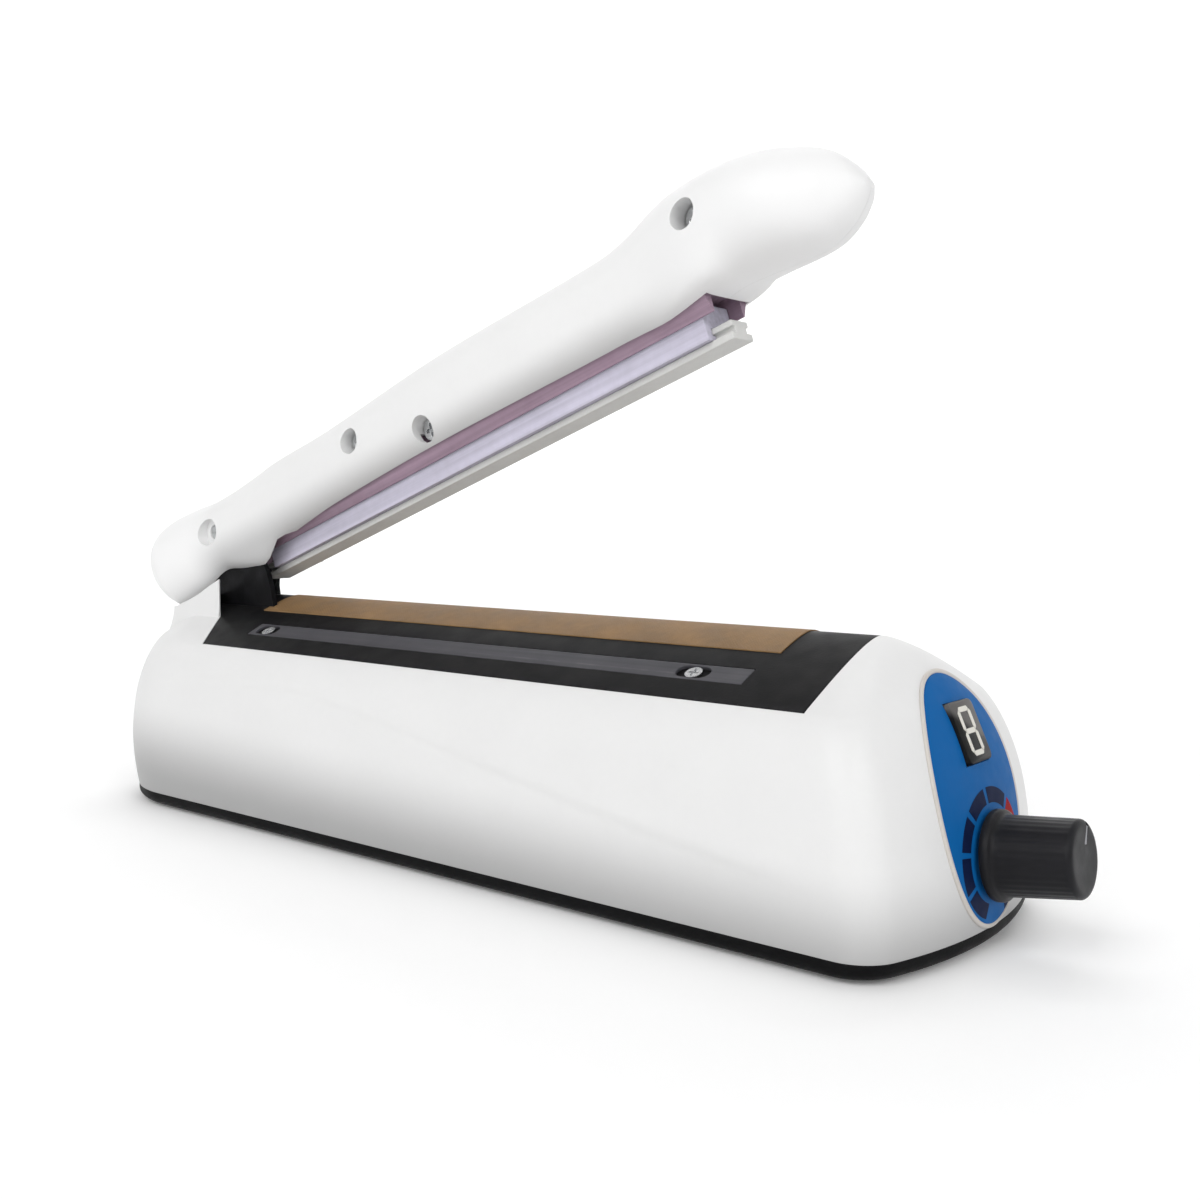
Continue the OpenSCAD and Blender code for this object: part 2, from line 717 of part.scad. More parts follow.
bush_d = 7;
shaft_d = 6;
nut_t = 2;
pot_d = 17;
pot_h = 9;
pot_back = panel_proud + shell_wall + 1.3;
module potentiometer() {
    color("#8d9296") at_knob() difference() {
        union() {
            translate([0, 0, -pot_back - pot_h]) cylinder(d = pot_d, h = pot_h, $fn = 48);
            translate([0, 0, -pot_back - eps]) cylinder(d = bush_d, h = pot_back + nut_t + 1, $fn = 48);
            translate([pot_d * 0.3, -6, -pot_back - pot_h + 2]) cube([pot_d * 0.5, 12, 1.6]);
        }
        translate([0, 0, -pot_back - pot_h + 3]) cylinder(d = shaft_d + 2 * run, h = far, $fn = 48);
    }
}
module potentiometer_nut() {
    color(steel) at_knob() translate([0, 0, 0.2]) difference() {
        cylinder(d = 11.4, h = nut_t, $fn = 6);
        translate([0, 0, -1]) cylinder(d = bush_d + 0.1, h = 10, $fn = 48);
    }
}

skirt_h = 2.2;
skirt_gap = 0.5;
pointer_turn = 155;
knob_hollow = 3.6;
module potentiometer_shaft() {
    bottom = -pot_back - pot_h + 3.3;
    color(steel) at_knob() translate([0, 0, bottom])
        cylinder(d = shaft_d, h = skirt_gap + knob_len - 5 - bottom, $fn = 48);
}

// Fluted knob with a stepped skirt and a pointer notch in its end face
module control_knob() {
    color("#26262b") at_knob() translate([0, 0, skirt_gap]) difference() {
        union() {
            cylinder(d = skirt_d, h = skirt_h, $fn = 64);
            translate([0, 0, skirt_h - eps])
                cylinder(d1 = knob_d + 0.8, d2 = knob_d, h = knob_len - skirt_h, $fn = 64);
        }
        translate([0, 0, -1]) cylinder(d = 13.4, h = knob_hollow + 1, $fn = 48);
        cylinder(d = shaft_d, h = knob_len - 5 + eps, $fn = 48);
        rotate(pointer_turn) translate([knob_d / 2 - 6, -0.6, knob_len - 1.2]) cube([8, 1.2, 4]);
        for (i = [0 : 23]) rotate(i * 15 + 7.5) translate([knob_d / 2 + 0.55, 0, skirt_h + 1.5])
            cylinder(r = 0.7, h = knob_len, $fn = 16);
    }
}

// Control board on posts in the base pan
board_size = [66, 52, 1.6];
board_x = 34;
board_z = 14;
board_post_d = 7;
module each_board_post() {
    for (x = [5, board_size[0] - 5], s = [-1, 1])
        translate([board_x + x, s * (board_size[1] / 2 - 5), 0]) children();
}
module board_posts() {
    each_board_post() translate([0, 0, pan_z + pan_floor - eps]) difference() {
        cylinder(d = board_post_d, h = board_z - pan_z - pan_floor + eps, $fn = 32);
        translate([0, 0, 3]) cylinder(d = 2.2, h = far, $fn = 32);
    }
}
module control_board() {
    color("#2c6b3f") difference() {
        translate([board_x, -board_size[1] / 2, board_z]) cube(board_size);
        each_board_post() cylinder(d = 3, h = far, $fn = 32);
    }
}
module board_screws() {
    color(steel) each_board_post() translate([0, 0, board_z + board_size[2]]) screw(2.2, 7, 5, 1.8);
}
relay_size = [19, 15, 15];
module board_relay() {
    color("#2f4f86") translate([board_x + board_size[0] * 0.21, -relay_size[1], board_z + board_size[2]])
        cube(relay_size);
}
connector_size = [9, 30, 11];
module board_connector() {
    size = connector_size;
    color("#4d8f57") translate([board_x + board_size[0] * 0.7, -size[1] / 2, board_z + board_size[2]])
    difference() {
        cube(size);
        for (i = [0 : 4]) translate([-1, 3 + i * 6, 3]) cube([7, 3.4, 5]);
        for (i = [0 : 4]) translate([4.5, 4.7 + i * 6, 9]) cylinder(d = 3, h = 5, $fn = 24);
    }
}

// Transformer on a sheet bracket
core_size = [50, 40, 42];
core_x = -62;
core_z = pan_z + pan_floor + 1.2;
window = [9, 24];
module transformer_core() {
    s = core_size;
    color("#5c5f66") translate([core_x, -s[1] / 2, core_z]) difference() {
        cube(s);
        for (x = [9, s[0] - 9 - window[0]]) translate([x, -1, (s[2] - window[1]) / 2])
            cube([window[0], s[1] + 2, window[1]]);
    }
}
module transformer_coil() {
    s = core_size;
    x0 = core_x + 9.3;
    leg = s[0] - 18 - 2 * window[0];
    color("#b5622d") difference() {
        translate([x0, -s[1] / 2 - 7, core_z + (s[2] - window[1]) / 2 + 0.3])
            cube([s[0] - 18.6, s[1] + 14, window[1] - 0.6]);
        translate([core_x + 9 + window[0] - 0.2, -s[1] / 2 - 0.2, 0]) cube([leg + 0.4, s[1] + 0.4, far]);
    }
}
module transformer_bracket() {
    s = core_size;
    t = 1.2;
    color(steel) difference() {
        translate([core_x - 12, -14, pan_z + pan_floor]) union() {
            cube([s[0] + 24, 28, t]);
            for (x = [12 - t, s[0] + 12]) translate([x, 0, 0]) cube([t, 28, 20]);
        }
        each_bracket_screw() cylinder(d = 3.6, h = far, $fn = 32);
    }
}
module each_bracket_screw() {
    for (x = [core_x - 7, core_x + core_size[0] + 7], s = [-1, 1]) translate([x, s * 9, 0]) children();
}
module transformer_screws() {
    color(steel) each_bracket_screw() translate([0, 0, pan_z + pan_floor + 1.2]) screw(3.2, 1.2, 6, 2);
}

// Switch that the closing arm works through a plunger
switch_size = [20, 6.4, 10];
plunger_top = pivot_z - cam_r - cam_gap;
plunger_z0 = ridge_z - 15;
switch_top = plunger_z0 - plunger_travel - 0.4 - 1.6;
module microswitch() {
    s = switch_size;
    color("#22252c") union() {
        difference() {
            translate([plunger_x - 6, -s[1] / 2, switch_top - s[2]]) cube(s);
            for (x = [-3, 11]) translate([plunger_x + x, 0, switch_top - 6.5]) rotate([90, 0, 0])
                cylinder(d = 2.4, h = far, center = true, $fn = 24);
        }
        translate([plunger_x - 1.4, -1.6, switch_top - eps]) cube([2.8, 3.2, 1.6 + eps]);
        for (x = [-4, 3, 10]) translate([plunger_x + x, -1.5, switch_top - s[2] - 4]) cube([0.6, 3, 4 + eps]);
    }
}
module switch_bracket() {
    y0 = switch_size[1] / 2;
    t = 1.4;
    color(steel) difference() {
        union() {
            translate([plunger_x - 6, y0, pan_z + pan_floor]) cube([20, t, switch_top - pan_z - pan_floor]);
            translate([plunger_x - 6, y0, pan_z + pan_floor]) cube([20, 14, t]);
            // seat of the plunger spring
            translate([plunger_x - 6, -switch_size[1] / 2, switch_top + 1.7 + plunger_travel - t])
                difference() {
                    cube([12, switch_size[1] + t, t]);
                    translate([6, switch_size[1] / 2, -1]) cylinder(d = plunger_d + 1.2, h = 10, $fn = 32);
                }
            translate([plunger_x - 6, y0, switch_top - eps]) cube([12, t, 1.7 + plunger_travel]);
        }
        for (x = [-3, 11]) translate([plunger_x + x, 0, switch_top - 6.5]) rotate([90, 0, 0])
            cylinder(d = 2.4, h = far, center = true, $fn = 24);
    }
}
collar_z = ridge_z - 7.4;
module switch_plunger() {
    color("#cfcac0") translate([plunger_x, 0, 0]) union() {
        translate([0, 0, plunger_z0])
            cylinder(d = plunger_d, h = plunger_top - plunger_d / 2 - plunger_z0, $fn = 32);
        translate([0, 0, plunger_top - plunger_d / 2]) sphere(d = plunger_d, $fn = 32);
        translate([0, 0, collar_z - 1.5]) cylinder(d = plunger_d + 3.4, h = 1.5, $fn = 32);
    }
}

// Coil about Z from z0 to z1, with closed ends
function coil_path(r, z0, z1, turns, steps = 8) = [for (i = [0 : turns * steps]) let (a = 360 * i / steps)
    [r * cos(a), r * sin(a), z0 + (z1 - z0) * i / (turns * steps)]];

plunger_wire = 0.7;
module plunger_spring() {
    low = switch_top + 1.7 + plunger_travel + plunger_wire / 2 + 0.1;
    high = collar_z - 1.5 - plunger_wire / 2 - 0.1;
    color(steel) translate([plunger_x, 0, 0])
        tube(coil_path(plunger_d / 2 + 0.9, low, high, 4), [0, 0, 1], plunger_wire / 2);
}

// Hinge
pin_len = 2 * 13.4;
clip_t = 0.8;
module hinge_pin() {
    color(steel) translate([pivot_x, 0, pivot_z]) rotate([90, 0, 0]) difference() {
        cylinder(d = pin_d, h = pin_len, center = true, $fn = 48);
        for (s = [-1, 1]) translate([0, 0, s * clip_y - clip_t / 2]) difference() {
            cylinder(d = pin_d + 2, h = clip_t, $fn = 48);
            translate([0, 0, -1]) cylinder(d = pin_d - 1.2, h = 4, $fn = 48);
        }
    }
}

// Snap rings in the pin's grooves against the tower's bosses
clip_y = spring_room / 2 - clip_t / 2 - 0.1;
module pin_clips() {
    color("#3c3c40") both_sides() translate([pivot_x, clip_y + clip_t / 2, pivot_z]) rotate([90, 0, 0])
        difference() {
            cylinder(d = pin_d + 4, h = clip_t, $fn = 40);
            translate([0, 0, -1]) cylinder(d = pin_d - 1.1, h = 4, $fn = 40);
            translate([-(pin_d - 1.1) / 2, 0, -1]) cube([pin_d - 1.1, pin_d * 2, 4]);
        }
}

// Torsion spring round the pin: one leg down to the plate, one under a rib
// of the arm
spring_wire = 1.3;
spring_r = pin_d / 2 + 2.9;
spring_turns = 5;
spring_half = 4.6;
spring_leg = 16;
spring_steps = spring_turns * 8 + 2;
spring_sweep = 360 * spring_turns + 90 - open_angle;
spring_pitch = 2 * spring_half / (spring_sweep / 360);
function spring_at(i) = let (a = 180 - spring_sweep * i / spring_steps)
    [spring_r * cos(a), -spring_half + 2 * spring_half * i / spring_steps, spring_r * sin(a)];
function spring_path() = concat(
    [[-spring_r, -spring_half, ridge_z + spring_wire / 2 - pivot_z],
        [-spring_r, -spring_half, -spring_leg / 2]],
    [for (i = [0 : spring_steps]) spring_at(i)],
    [for (d = [spring_leg / 2, spring_leg])
        spring_at(spring_steps) + d * [cos(open_angle), 0, sin(open_angle)]]);
module return_spring() {
    echo(return_spring_turn_gap = spring_pitch - spring_wire);
    color("#8f9499") translate([pivot_x, 0, pivot_z]) tube(spring_path(), [0, 1, 0], spring_wire / 2);
}

// Press arm, drawn level about the hinge axis and then raised
module on_arm() {
    translate([pivot_x, 0, pivot_z]) rotate([0, -open_angle, 0]) children();
}

// Arm outlines against the distance from the hinge axis
arm_top = [
    [-tail_len, 4.5], [1.3 - tail_len, 8.3], [5.5 - tail_len, 11.1], [14 - tail_len, 14.1], [-14, 14.2],
    [0, 13.2], [30, 15.1], [60, 15.1], [arm_len - 140, 17.3], [arm_len - 75, 16.4], [arm_len - 65, 17.8],
    [arm_len - 52, 21.3], [arm_len - 38, 21.4], [arm_len - 26, 19.8], [arm_len - 16, 16.6],
    [arm_len - 6.4, 11], [arm_len - 1.5, 4.4], [arm_len, 0.5]
];
arm_bottom = [
    [-tail_len, 1.5], [1 - tail_len, -3.5], [5 - tail_len, -11.5], [12 - tail_len, -20],
    [21 - tail_len, -20], [-10, -18], [0, -15.8], [8, -17.2], [15, -18.7], [22, -20.2], [27, -17.4],
    [32, -14.6], [45, -13.9], [95, -13.2], [arm_len - 80, -13.3], [arm_len - 60, -12.6],
    [arm_len - 52, -10.8], [arm_len - 44, -9.2], [arm_len - 38, -8.6], [arm_len - 31, -9.2],
    [arm_len - 14, -10.4], [arm_len - 6.4, -8.1], [arm_len - 1.5, -4.2], [arm_len, -2]
];
arm_half = [
    [-tail_len, 2], [1.2 - tail_len, 8.4], [5 - tail_len, 16], [13 - tail_len, 22], [-18, 21], [-8, 18.2],
    [0, 17], [15, 14.6], [30, 13.9], [48, 13.4], [arm_len - 140, 13.2], [arm_len - 78, 13.2],
    [arm_len - 58, 13.2], [arm_len - 40, 15.7], [arm_len - 23, 15.7], [arm_len - 10, 10.8],
    [arm_len - 2.4, 6.1], [arm_len, 2.5]
];
// Squareness of the section's upper and lower halves: 2 is an ellipse
square_above = [[-tail_len, 2], [-20, 2.2], [0, 2.2], [30, 2.4], [60, 2.4], [arm_len, 2.2]];
square_below = [
    [-tail_len, 2.2], [-25, 2.3], [-10, 2.4], [2, 3], [14, 4.7], [24, 4.6], [34, 3.4], [60, 2.4],
    [arm_len - 75, 2.6], [arm_len - 60, 3.4], [arm_len - 50, 5], [arm_len - 42, 5], [arm_len - 34, 2.4],
    [arm_len, 2.2]
];
function round_power(c, e) = sign(c) * pow(abs(c), 2 / e);
function arm_ring(u, inset, n) = let (
    top = along(u, arm_top) - inset,
    low = along(u, arm_bottom) + inset,
    half = along(u, arm_half) - inset)
    [for (k = [0 : n - 1]) let (a = 360 * k / n, e = along(u, sin(a) > 0 ? square_above : square_below))
        [u, half * round_power(cos(a), e), (top + low) / 2 + (top - low) / 2 * round_power(sin(a), e)]];

grip_len = 80;
// End of the skirts beside the hinge tower
skirt_u = 33;
arm_stations = concat(
    [for (i = [0 : 8]) -tail_len + (tail_len + 12) * (1 - cos(i * 11.25))],
    [18, 23, 27.5],
    [for (i = [0 : 5]) skirt_u + (arm_len - grip_len - skirt_u) * i / 5],
    [for (i = [1 : 9]) arm_len - grip_len + grip_len * sin(i * 10)]);
cavity_stations = concat(
    [for (i = [0 : 3]) -tail_len + 4.5 + (tail_len + 8) * i / 3],
    [for (i = [1 : 4]) 12 + (arm_len - grip_len - 12) * i / 4],
    [for (i = [1 : 5]) arm_len - grip_len + (grip_len - 6) * sin(i * 18)]);

rail_u0 = 21.5;
rail_u1 = arm_len - 45;
slot_half = 9.6;
hinge_slot = tower_w / 2 + 0.4;
hinge_slot_u = 32;
hinge_well_d = well_d + 1.2;
// Screw wells on the near side, as distance and height from the axis
well_at = [[76.4, 4.1], [108, -4.2], [arm_len - 41.4, 9.9]];
well_depth_y = 6.6;
arm_screw_d = 3;
boss_d = well_d + 2;
// Ribs of the shells that bear on the rail
rib_u = [46, 150, rail_u1 - 12];
rib_t = 2;

module arm_form(half) {
    intersection() {
        skin([for (u = arm_stations) arm_ring(u, 0, 20)]);
        translate([-far, half < 0 ? -far : 0, -far]) cube([4 * far, far, 2 * far]);
    }
}

module well_bosses() {
    for (p = well_at) translate([p[0], 0, p[1]]) rotate([90, 0, 0])
        cylinder(d = boss_d, h = far, center = true, $fn = 40);
}

module arm_cavity() {
    difference() {
        union() {
            skin([for (u = cavity_stations) arm_ring(u, arm_wall, 12)]);
            translate([-tail_len + 5, -slot_half, -far])
                cube([rail_u1 + 1 + tail_len - 5, 2 * slot_half, far + rail_top]);
            translate([-tail_len + 5, -hinge_slot, -far])
                cube([hinge_slot_u + tail_len - 5, 2 * hinge_slot, far + boss_r + 1]);
        }
        difference() {
            well_bosses();
            translate([rail_u0 - 1, -slot_half, -far])
                cube([rail_u1 - rail_u0 + 2, 2 * slot_half, far + rail_top]);
            rail_lug(fit);
        }
        // cheeks that bear on the pin
        both_sides() translate([0, hinge_slot, 0]) rotate([-90, 0, 0])
            cylinder(r = boss_r + 1, h = 10, $fn = 40);
        // rib over the return spring's upper leg
        translate([spring_leg - 4, 2, spring_r + spring_wire / 2 + fit]) cube([3, 6, far]);
        for (u = rib_u) translate([u, -far, rail_top]) cube([rib_t, 2 * far, far]);
    }
}

module arm_shell(half) {
    difference() {
        arm_form(half);
        arm_cavity();
        rotate([90, 0, 0]) cylinder(d = pin_d + 2 * run, h = 60, center = true, $fn = 48);
        translate([0, half * (pin_len / 2 + 0.3), 0]) rotate([-90 * half, 0, 0])
            cylinder(d = hinge_well_d, h = 20, $fn = 40);
        for (p = well_at) translate([p[0], 0, p[1]]) rotate([90, 0, 0]) {
            hole = half < 0 ? arm_screw_d + 2 * fit : arm_screw_d - 0.5;
            cylinder(d = hole, h = 18, center = true, $fn = 32);
            if (half < 0) translate([0, 0, well_depth_y]) cylinder(d = well_d, h = 40, $fn = 40);
        }
    }
}

module arm_shell_near() { color(white) on_arm() arm_shell(-1); }
module arm_shell_far() { color(white) on_arm() arm_shell(1); }

module arm_screws() {
    color(steel) on_arm() for (p = well_at) translate([p[0], -well_depth_y, p[1]]) rotate([90, 0, 0])
        screw(arm_screw_d - 0.6, well_depth_y + 8, well_d - 1.4, 2.2);
}

// Press rail: a channel with slanted flanks, held between the arm shells
rail_half = 9.2;
rail_lip = holder_w / 2 + slide;
rail_ceiling = -rail_drop + 6.5;
rail_top = rail_ceiling + 2.2;
cam_half = 3;
cam_span = [-124, -78];
cam_hub = 7.6;
// Spiral cam in the arm's frame, then a tongue to the rail
function cam_at(a) = (cam_r + plunger_travel * (a + 90 + open_angle) / open_angle) * [cos(a), sin(a)];
function cam_profile() = concat(
    [for (a = [cam_span[0] : 2 : cam_span[1]]) cam_at(a)],
    [[10, -9.5], [holder_u0 - 1.5, rail_ceiling], [rail_u0 + 1, rail_ceiling], [rail_u0 + 1, rail_top]],
    [for (a = [-30 : -10 : cam_span[0]]) cam_hub * [cos(a), sin(a)]]);
module press_rail() {
    color("#8a7585") on_arm() difference() {
        union() {
            along_x(rail_u0, rail_u1) polygon([
                [-rail_half, -9.2], [-rail_lip - 0.5, -rail_drop], [-rail_lip, -rail_drop],
                [-rail_lip, rail_ceiling], [rail_lip, rail_ceiling], [rail_lip, -rail_drop],
                [rail_lip + 0.5, -rail_drop], [rail_half, -9.2], [rail_half, rail_top], [-rail_half, rail_top]
            ]);
            rail_lug(0);
            // cam over the switch plunger
            along_y(2 * cam_half) polygon(cam_profile());
        }
        translate([well_at[1][0], 0, well_at[1][1]]) rotate([90, 0, 0])
            cylinder(d = arm_screw_d + 2 * fit, h = 40, center = true, $fn = 32);
        well_bore_clear();
    }
}
// Lug on the rail for the middle arm screw
lug_half = 2.5;
module rail_lug(grow) {
    translate([well_at[1][0] - 7 - grow, -lug_half - grow, rail_top - eps])
        cube([14 + 2 * grow, 2 * (lug_half + grow), 6 + grow]);
}
// Room beside the lug for the shells' screw bosses
module well_bore_clear() {
    both_sides() translate([well_at[1][0], lug_half, well_at[1][1]]) rotate([-90, 0, 0])
        cylinder(d = boss_d + 2 * fit, h = 40, $fn = 40);
}

// Holder that floats in the rail, with the slot for the rubber
holder_u0 = 18;
holder_u1 = arm_len - 49;
holder_top = rail_ceiling - float_travel - 0.5;
stem_w = 5;
stem_h = 3.2;
keep_w = 7.4;
keep_h = 1.6;
pocket_d = 6;
pocket_depth = 3;
press_spring_u = [holder_u0 + 22, holder_u1 - 20];
module rubber_holder() {
    low = -holder_drop;
    color("#9a94a0") on_arm() difference() {
        translate([holder_u0, -holder_w / 2, low]) cube([holder_u1 - holder_u0, holder_w, holder_top - low]);
        translate([holder_u0 - 1, -stem_w / 2 - fit, low - 1])
            cube([holder_u1 - holder_u0 + 2, stem_w + 2 * fit, stem_h + 1 + fit]);
        translate([holder_u0 - 1, -keep_w / 2 - fit, low + stem_h - keep_h - fit])
            cube([holder_u1 - holder_u0 + 2, keep_w + 2 * fit, keep_h + 2 * fit]);
        for (u = press_spring_u) translate([u, 0, holder_top - pocket_depth])
            cylinder(d = pocket_d, h = 10, $fn = 32);
    }
}

press_wire = 0.8;
module press_springs() {
    low = holder_top - pocket_depth + press_wire / 2 + 0.1;
    high = rail_ceiling - press_wire / 2 - 0.1;
    color(steel) on_arm() for (u = press_spring_u) translate([u, 0, 0])
        tube(coil_path(pocket_d / 2 - press_wire / 2 - 0.3, low, high, 3), [0, 0, 1], press_wire / 2);
}

// Silicone strip: a flat face with a stem and a keeping ridge in the holder
rubber_u0 = 11;
rubber_u1 = arm_len - 43;
module silicone_strip() {
    low = -holder_drop;
    color("#c4c4c2") on_arm() along_x(rubber_u0, rubber_u1) polygon([
        [-rubber_w / 2, low - rubber_t], [rubber_w / 2, low - rubber_t], [rubber_w / 2, low],
        [stem_w / 2, low], [stem_w / 2, low + stem_h - keep_h], [keep_w / 2, low + stem_h - keep_h],
        [keep_w / 2, low + stem_h], [-keep_w / 2, low + stem_h], [-keep_w / 2, low + stem_h - keep_h],
        [-stem_w / 2, low + stem_h - keep_h], [-stem_w / 2, low], [-rubber_w / 2, low]
    ]);
}

base_pan();
rubber_feet();
base_screws();
body_shell();
hinge_collar();
cord_gland();
top_plate();
plate_screws();
insulating_underlay();
heating_band();
release_tape();
near_clamp_strip();
far_clamp_strip();
clamp_screws();
band_terminals();
terminal_screws();
control_panel();
display_module();
display_segments();
potentiometer();
potentiometer_nut();
potentiometer_shaft();
control_knob();
control_board();
board_screws();
board_relay();
board_connector();
transformer_core();
transformer_coil();
transformer_bracket();
transformer_screws();
microswitch();
switch_bracket();
switch_plunger();
plunger_spring();
hinge_pin();
pin_clips();
return_spring();
arm_shell_near();
arm_shell_far();
arm_screws();
press_rail();
press_springs();
rubber_holder();
silicone_strip();
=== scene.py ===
"""Looks of a hand-operated heat sealer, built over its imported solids."""

import json
import logging
import math
from dataclasses import dataclass, field, replace
from enum import Enum
from functools import cached_property
from typing import Optional, Sequence

import bmesh
import bpy
from mathutils import Matrix, Vector

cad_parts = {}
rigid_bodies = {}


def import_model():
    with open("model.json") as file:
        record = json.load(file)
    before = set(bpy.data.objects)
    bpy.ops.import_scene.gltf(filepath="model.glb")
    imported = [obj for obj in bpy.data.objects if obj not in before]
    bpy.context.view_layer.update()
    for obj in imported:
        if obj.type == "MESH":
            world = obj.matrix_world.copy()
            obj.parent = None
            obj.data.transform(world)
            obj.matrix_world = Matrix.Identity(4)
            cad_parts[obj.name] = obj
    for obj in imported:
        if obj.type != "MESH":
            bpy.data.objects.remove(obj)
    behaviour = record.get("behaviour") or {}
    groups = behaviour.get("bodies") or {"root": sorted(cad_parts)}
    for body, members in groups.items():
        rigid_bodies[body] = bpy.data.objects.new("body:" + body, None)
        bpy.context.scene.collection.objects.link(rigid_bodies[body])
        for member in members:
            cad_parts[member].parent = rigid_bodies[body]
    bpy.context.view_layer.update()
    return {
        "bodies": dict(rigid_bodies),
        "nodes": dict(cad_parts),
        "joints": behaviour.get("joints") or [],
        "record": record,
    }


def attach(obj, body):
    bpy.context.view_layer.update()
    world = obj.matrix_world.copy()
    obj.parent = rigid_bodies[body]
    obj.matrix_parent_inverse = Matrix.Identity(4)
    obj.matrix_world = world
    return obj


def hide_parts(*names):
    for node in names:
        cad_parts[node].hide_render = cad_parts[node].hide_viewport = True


log = logging.getLogger("heat_sealer")

Point2 = tuple[float, float]
Point3 = tuple[float, float, float]
Colour = tuple[float, float, float]
Ring = list[Point3]
Piece = bpy.types.Object
Tree = bpy.types.NodeTree
Node = bpy.types.Node
Socket = bpy.types.NodeSocket

# One millimetre in the scene's metres
MM = 0.001

# Sizes that more than one sub-assembly uses, in millimetres and degrees
PIVOT: Point2 = (-127.5, 90.0)
RAISED = 19.2
PLATE_PLAN: tuple[Point2, ...] = ((118.3, 34.2), (-105, 34.2), (-117, 19), (-128, 11.5), (-147, 11.5))

# Where cutters end: over the whole body, and past the width of the body's tower and of the arm
CUT_TOP = 100.0
REACH = 40.0

# Egg-shaped panel on the nose: height of its middle, half width and half height, and share of the egg shape
PANEL_MIDDLE = 33.4
PANEL_HALF: Point2 = (19.8, 27.5)
PANEL_EGG = 0.05


class Body(Enum):
    """Moving bodies of the sealer, by their names in the frame."""

    BASE = "base"
    ARM = "arm"
    PRESS_BAR = "press_bar"
    KNOB = "knob"
    PLUNGER = "plunger"


class Pattern(Enum):
    """Kinds of surface detail that a finish can have."""

    MOULDED = "moulded"
    BRUSHED = "brushed"
    WOVEN = "woven"


# Curves

def bezier(points: Sequence[Point2], t: float) -> Point2:
    """Reads a Bezier curve.

    Args:
        points: Control points of the curve.
        t: Place along the curve, from 0 to 1.

    Returns:
        The point at t.
    """
    work = list(points)
    while len(work) > 1:
        work = [(a[0] + (b[0] - a[0]) * t, a[1] + (b[1] - a[1]) * t) for a, b in zip(work, work[1:])]
    return work[0]


def read_line(table: Sequence[Point2], u: float) -> float:
    """Reads a table of points joined by straight lines.

    Args:
        table: Points as place and value, in rising order.
        u: Place to read at; outside the table the end value holds.

    Returns:
        The value at u.
    """
    if u <= table[0][0]:
        return table[0][1]
    for a, b in zip(table, table[1:]):
        if u <= b[0]:
            return a[1] + (b[1] - a[1]) * (u - a[0]) / (b[0] - a[0])
    return table[-1][1]


def read_curve(table: Sequence[Point2], u: float) -> float:
    """Reads a smooth curve through a table of points.

    Args:
        table: Points as place and value, in rising order.
        u: Place to read at.

    Returns:
        The value of the curve at u.
    """
    last = len(table) - 1
    i = 0
    while i < last - 1 and u >= table[i + 1][0]:
        i += 1

    def slope(k: int) -> float:
        """Slope of the curve at point k."""
        a, b = table[max(k - 1, 0)], table[min(k + 1, last)]
        return (b[1] - a[1]) / (b[0] - a[0])

    step = table[i + 1][0] - table[i][0]
    s = min(max((u - table[i][0]) / step, 0.0), 1.0)
    r = 1.0 - s
    return ((1 + 2 * s) * r * r * table[i][1] + s * r * r * step * slope(i)
            + s * s * (3 - 2 * s) * table[i + 1][1] - s * s * r * step * slope(i + 1))


def ease(low: float, high: float, value: float) -> float:
    """Rises smoothly from 0 at low to 1 at high.

    Args:
        low: Value where the rise starts.
        high: Value where it ends.
        value: Value to read.

    Returns:
        A share from 0 to 1.
    """
    s = min(max((value - low) / (high - low), 0.0), 1.0)
    return s * s * (3 - 2 * s)


def tilted(origin: Point3, turn: float) -> Matrix:
    """Frame at a point, turned about Y.

    Args:
        origin: Place of the frame in millimetres.
        turn: Turn about Y in degrees.

    Returns:
        The frame's matrix, in millimetres.
    """
    return Matrix.Translation(origin) @ Matrix.Rotation(math.radians(turn), 4, "Y")


# Finishes

@dataclass(frozen=True)
class PaintedLight:
    """Painted light or shade: a soft change to a second colour along a direction, between two distances in
    metres.
    """

    colour: Colour
    direction: Point3
    low: float
    high: float


@dataclass(frozen=True)
class Finish:
    """One material of the sealer, with the detail that its surface shows."""

    name: str
    slot: str
    colour: Colour
    roughness: float
    metallic: float = 0.0
    coat: float = 0.0
    specular: float = 0.5
    pattern: Pattern = Pattern.MOULDED
    grain: float = 1400.0
    depth: float = 0.06
    tone: float = 0.03
    wear: float = 0.08
    worn: Colour = (0.5, 0.5, 0.5)
    dust: float = 0.03
    tilt: float = 0.0
    streak: float = 0.12
    # Painted light and shade, laid over the colour
    painted_light: tuple[PaintedLight, ...] = ()


# Directions of the raised arm, along which its painted shade and painted highlights change
ARM_DOWN: Point3 = (0.329, 0, -0.944)
ARM_BACK: Point3 = (-0.944, 0, -0.329)
ARM_AHEAD: Point3 = (0.944, 0, 0.329)

# Painted shade: the white shell's colour darkens towards the bottom of the body
WHITE_SHELL_PAINTED_SHADE = Finish(
    "white_shell", "white_shell", (0.775, 0.775, 0.773), 0.4, coat=0.05, specular=0.2, grain=1900,
    depth=0.02, tone=0.012, wear=0.03, worn=(0.85, 0.85, 0.85), dust=0.012, streak=0.05,
    painted_light=(PaintedLight((0.385, 0.385, 0.385), (-0.04, 0, -1), -0.031, -0.004),))
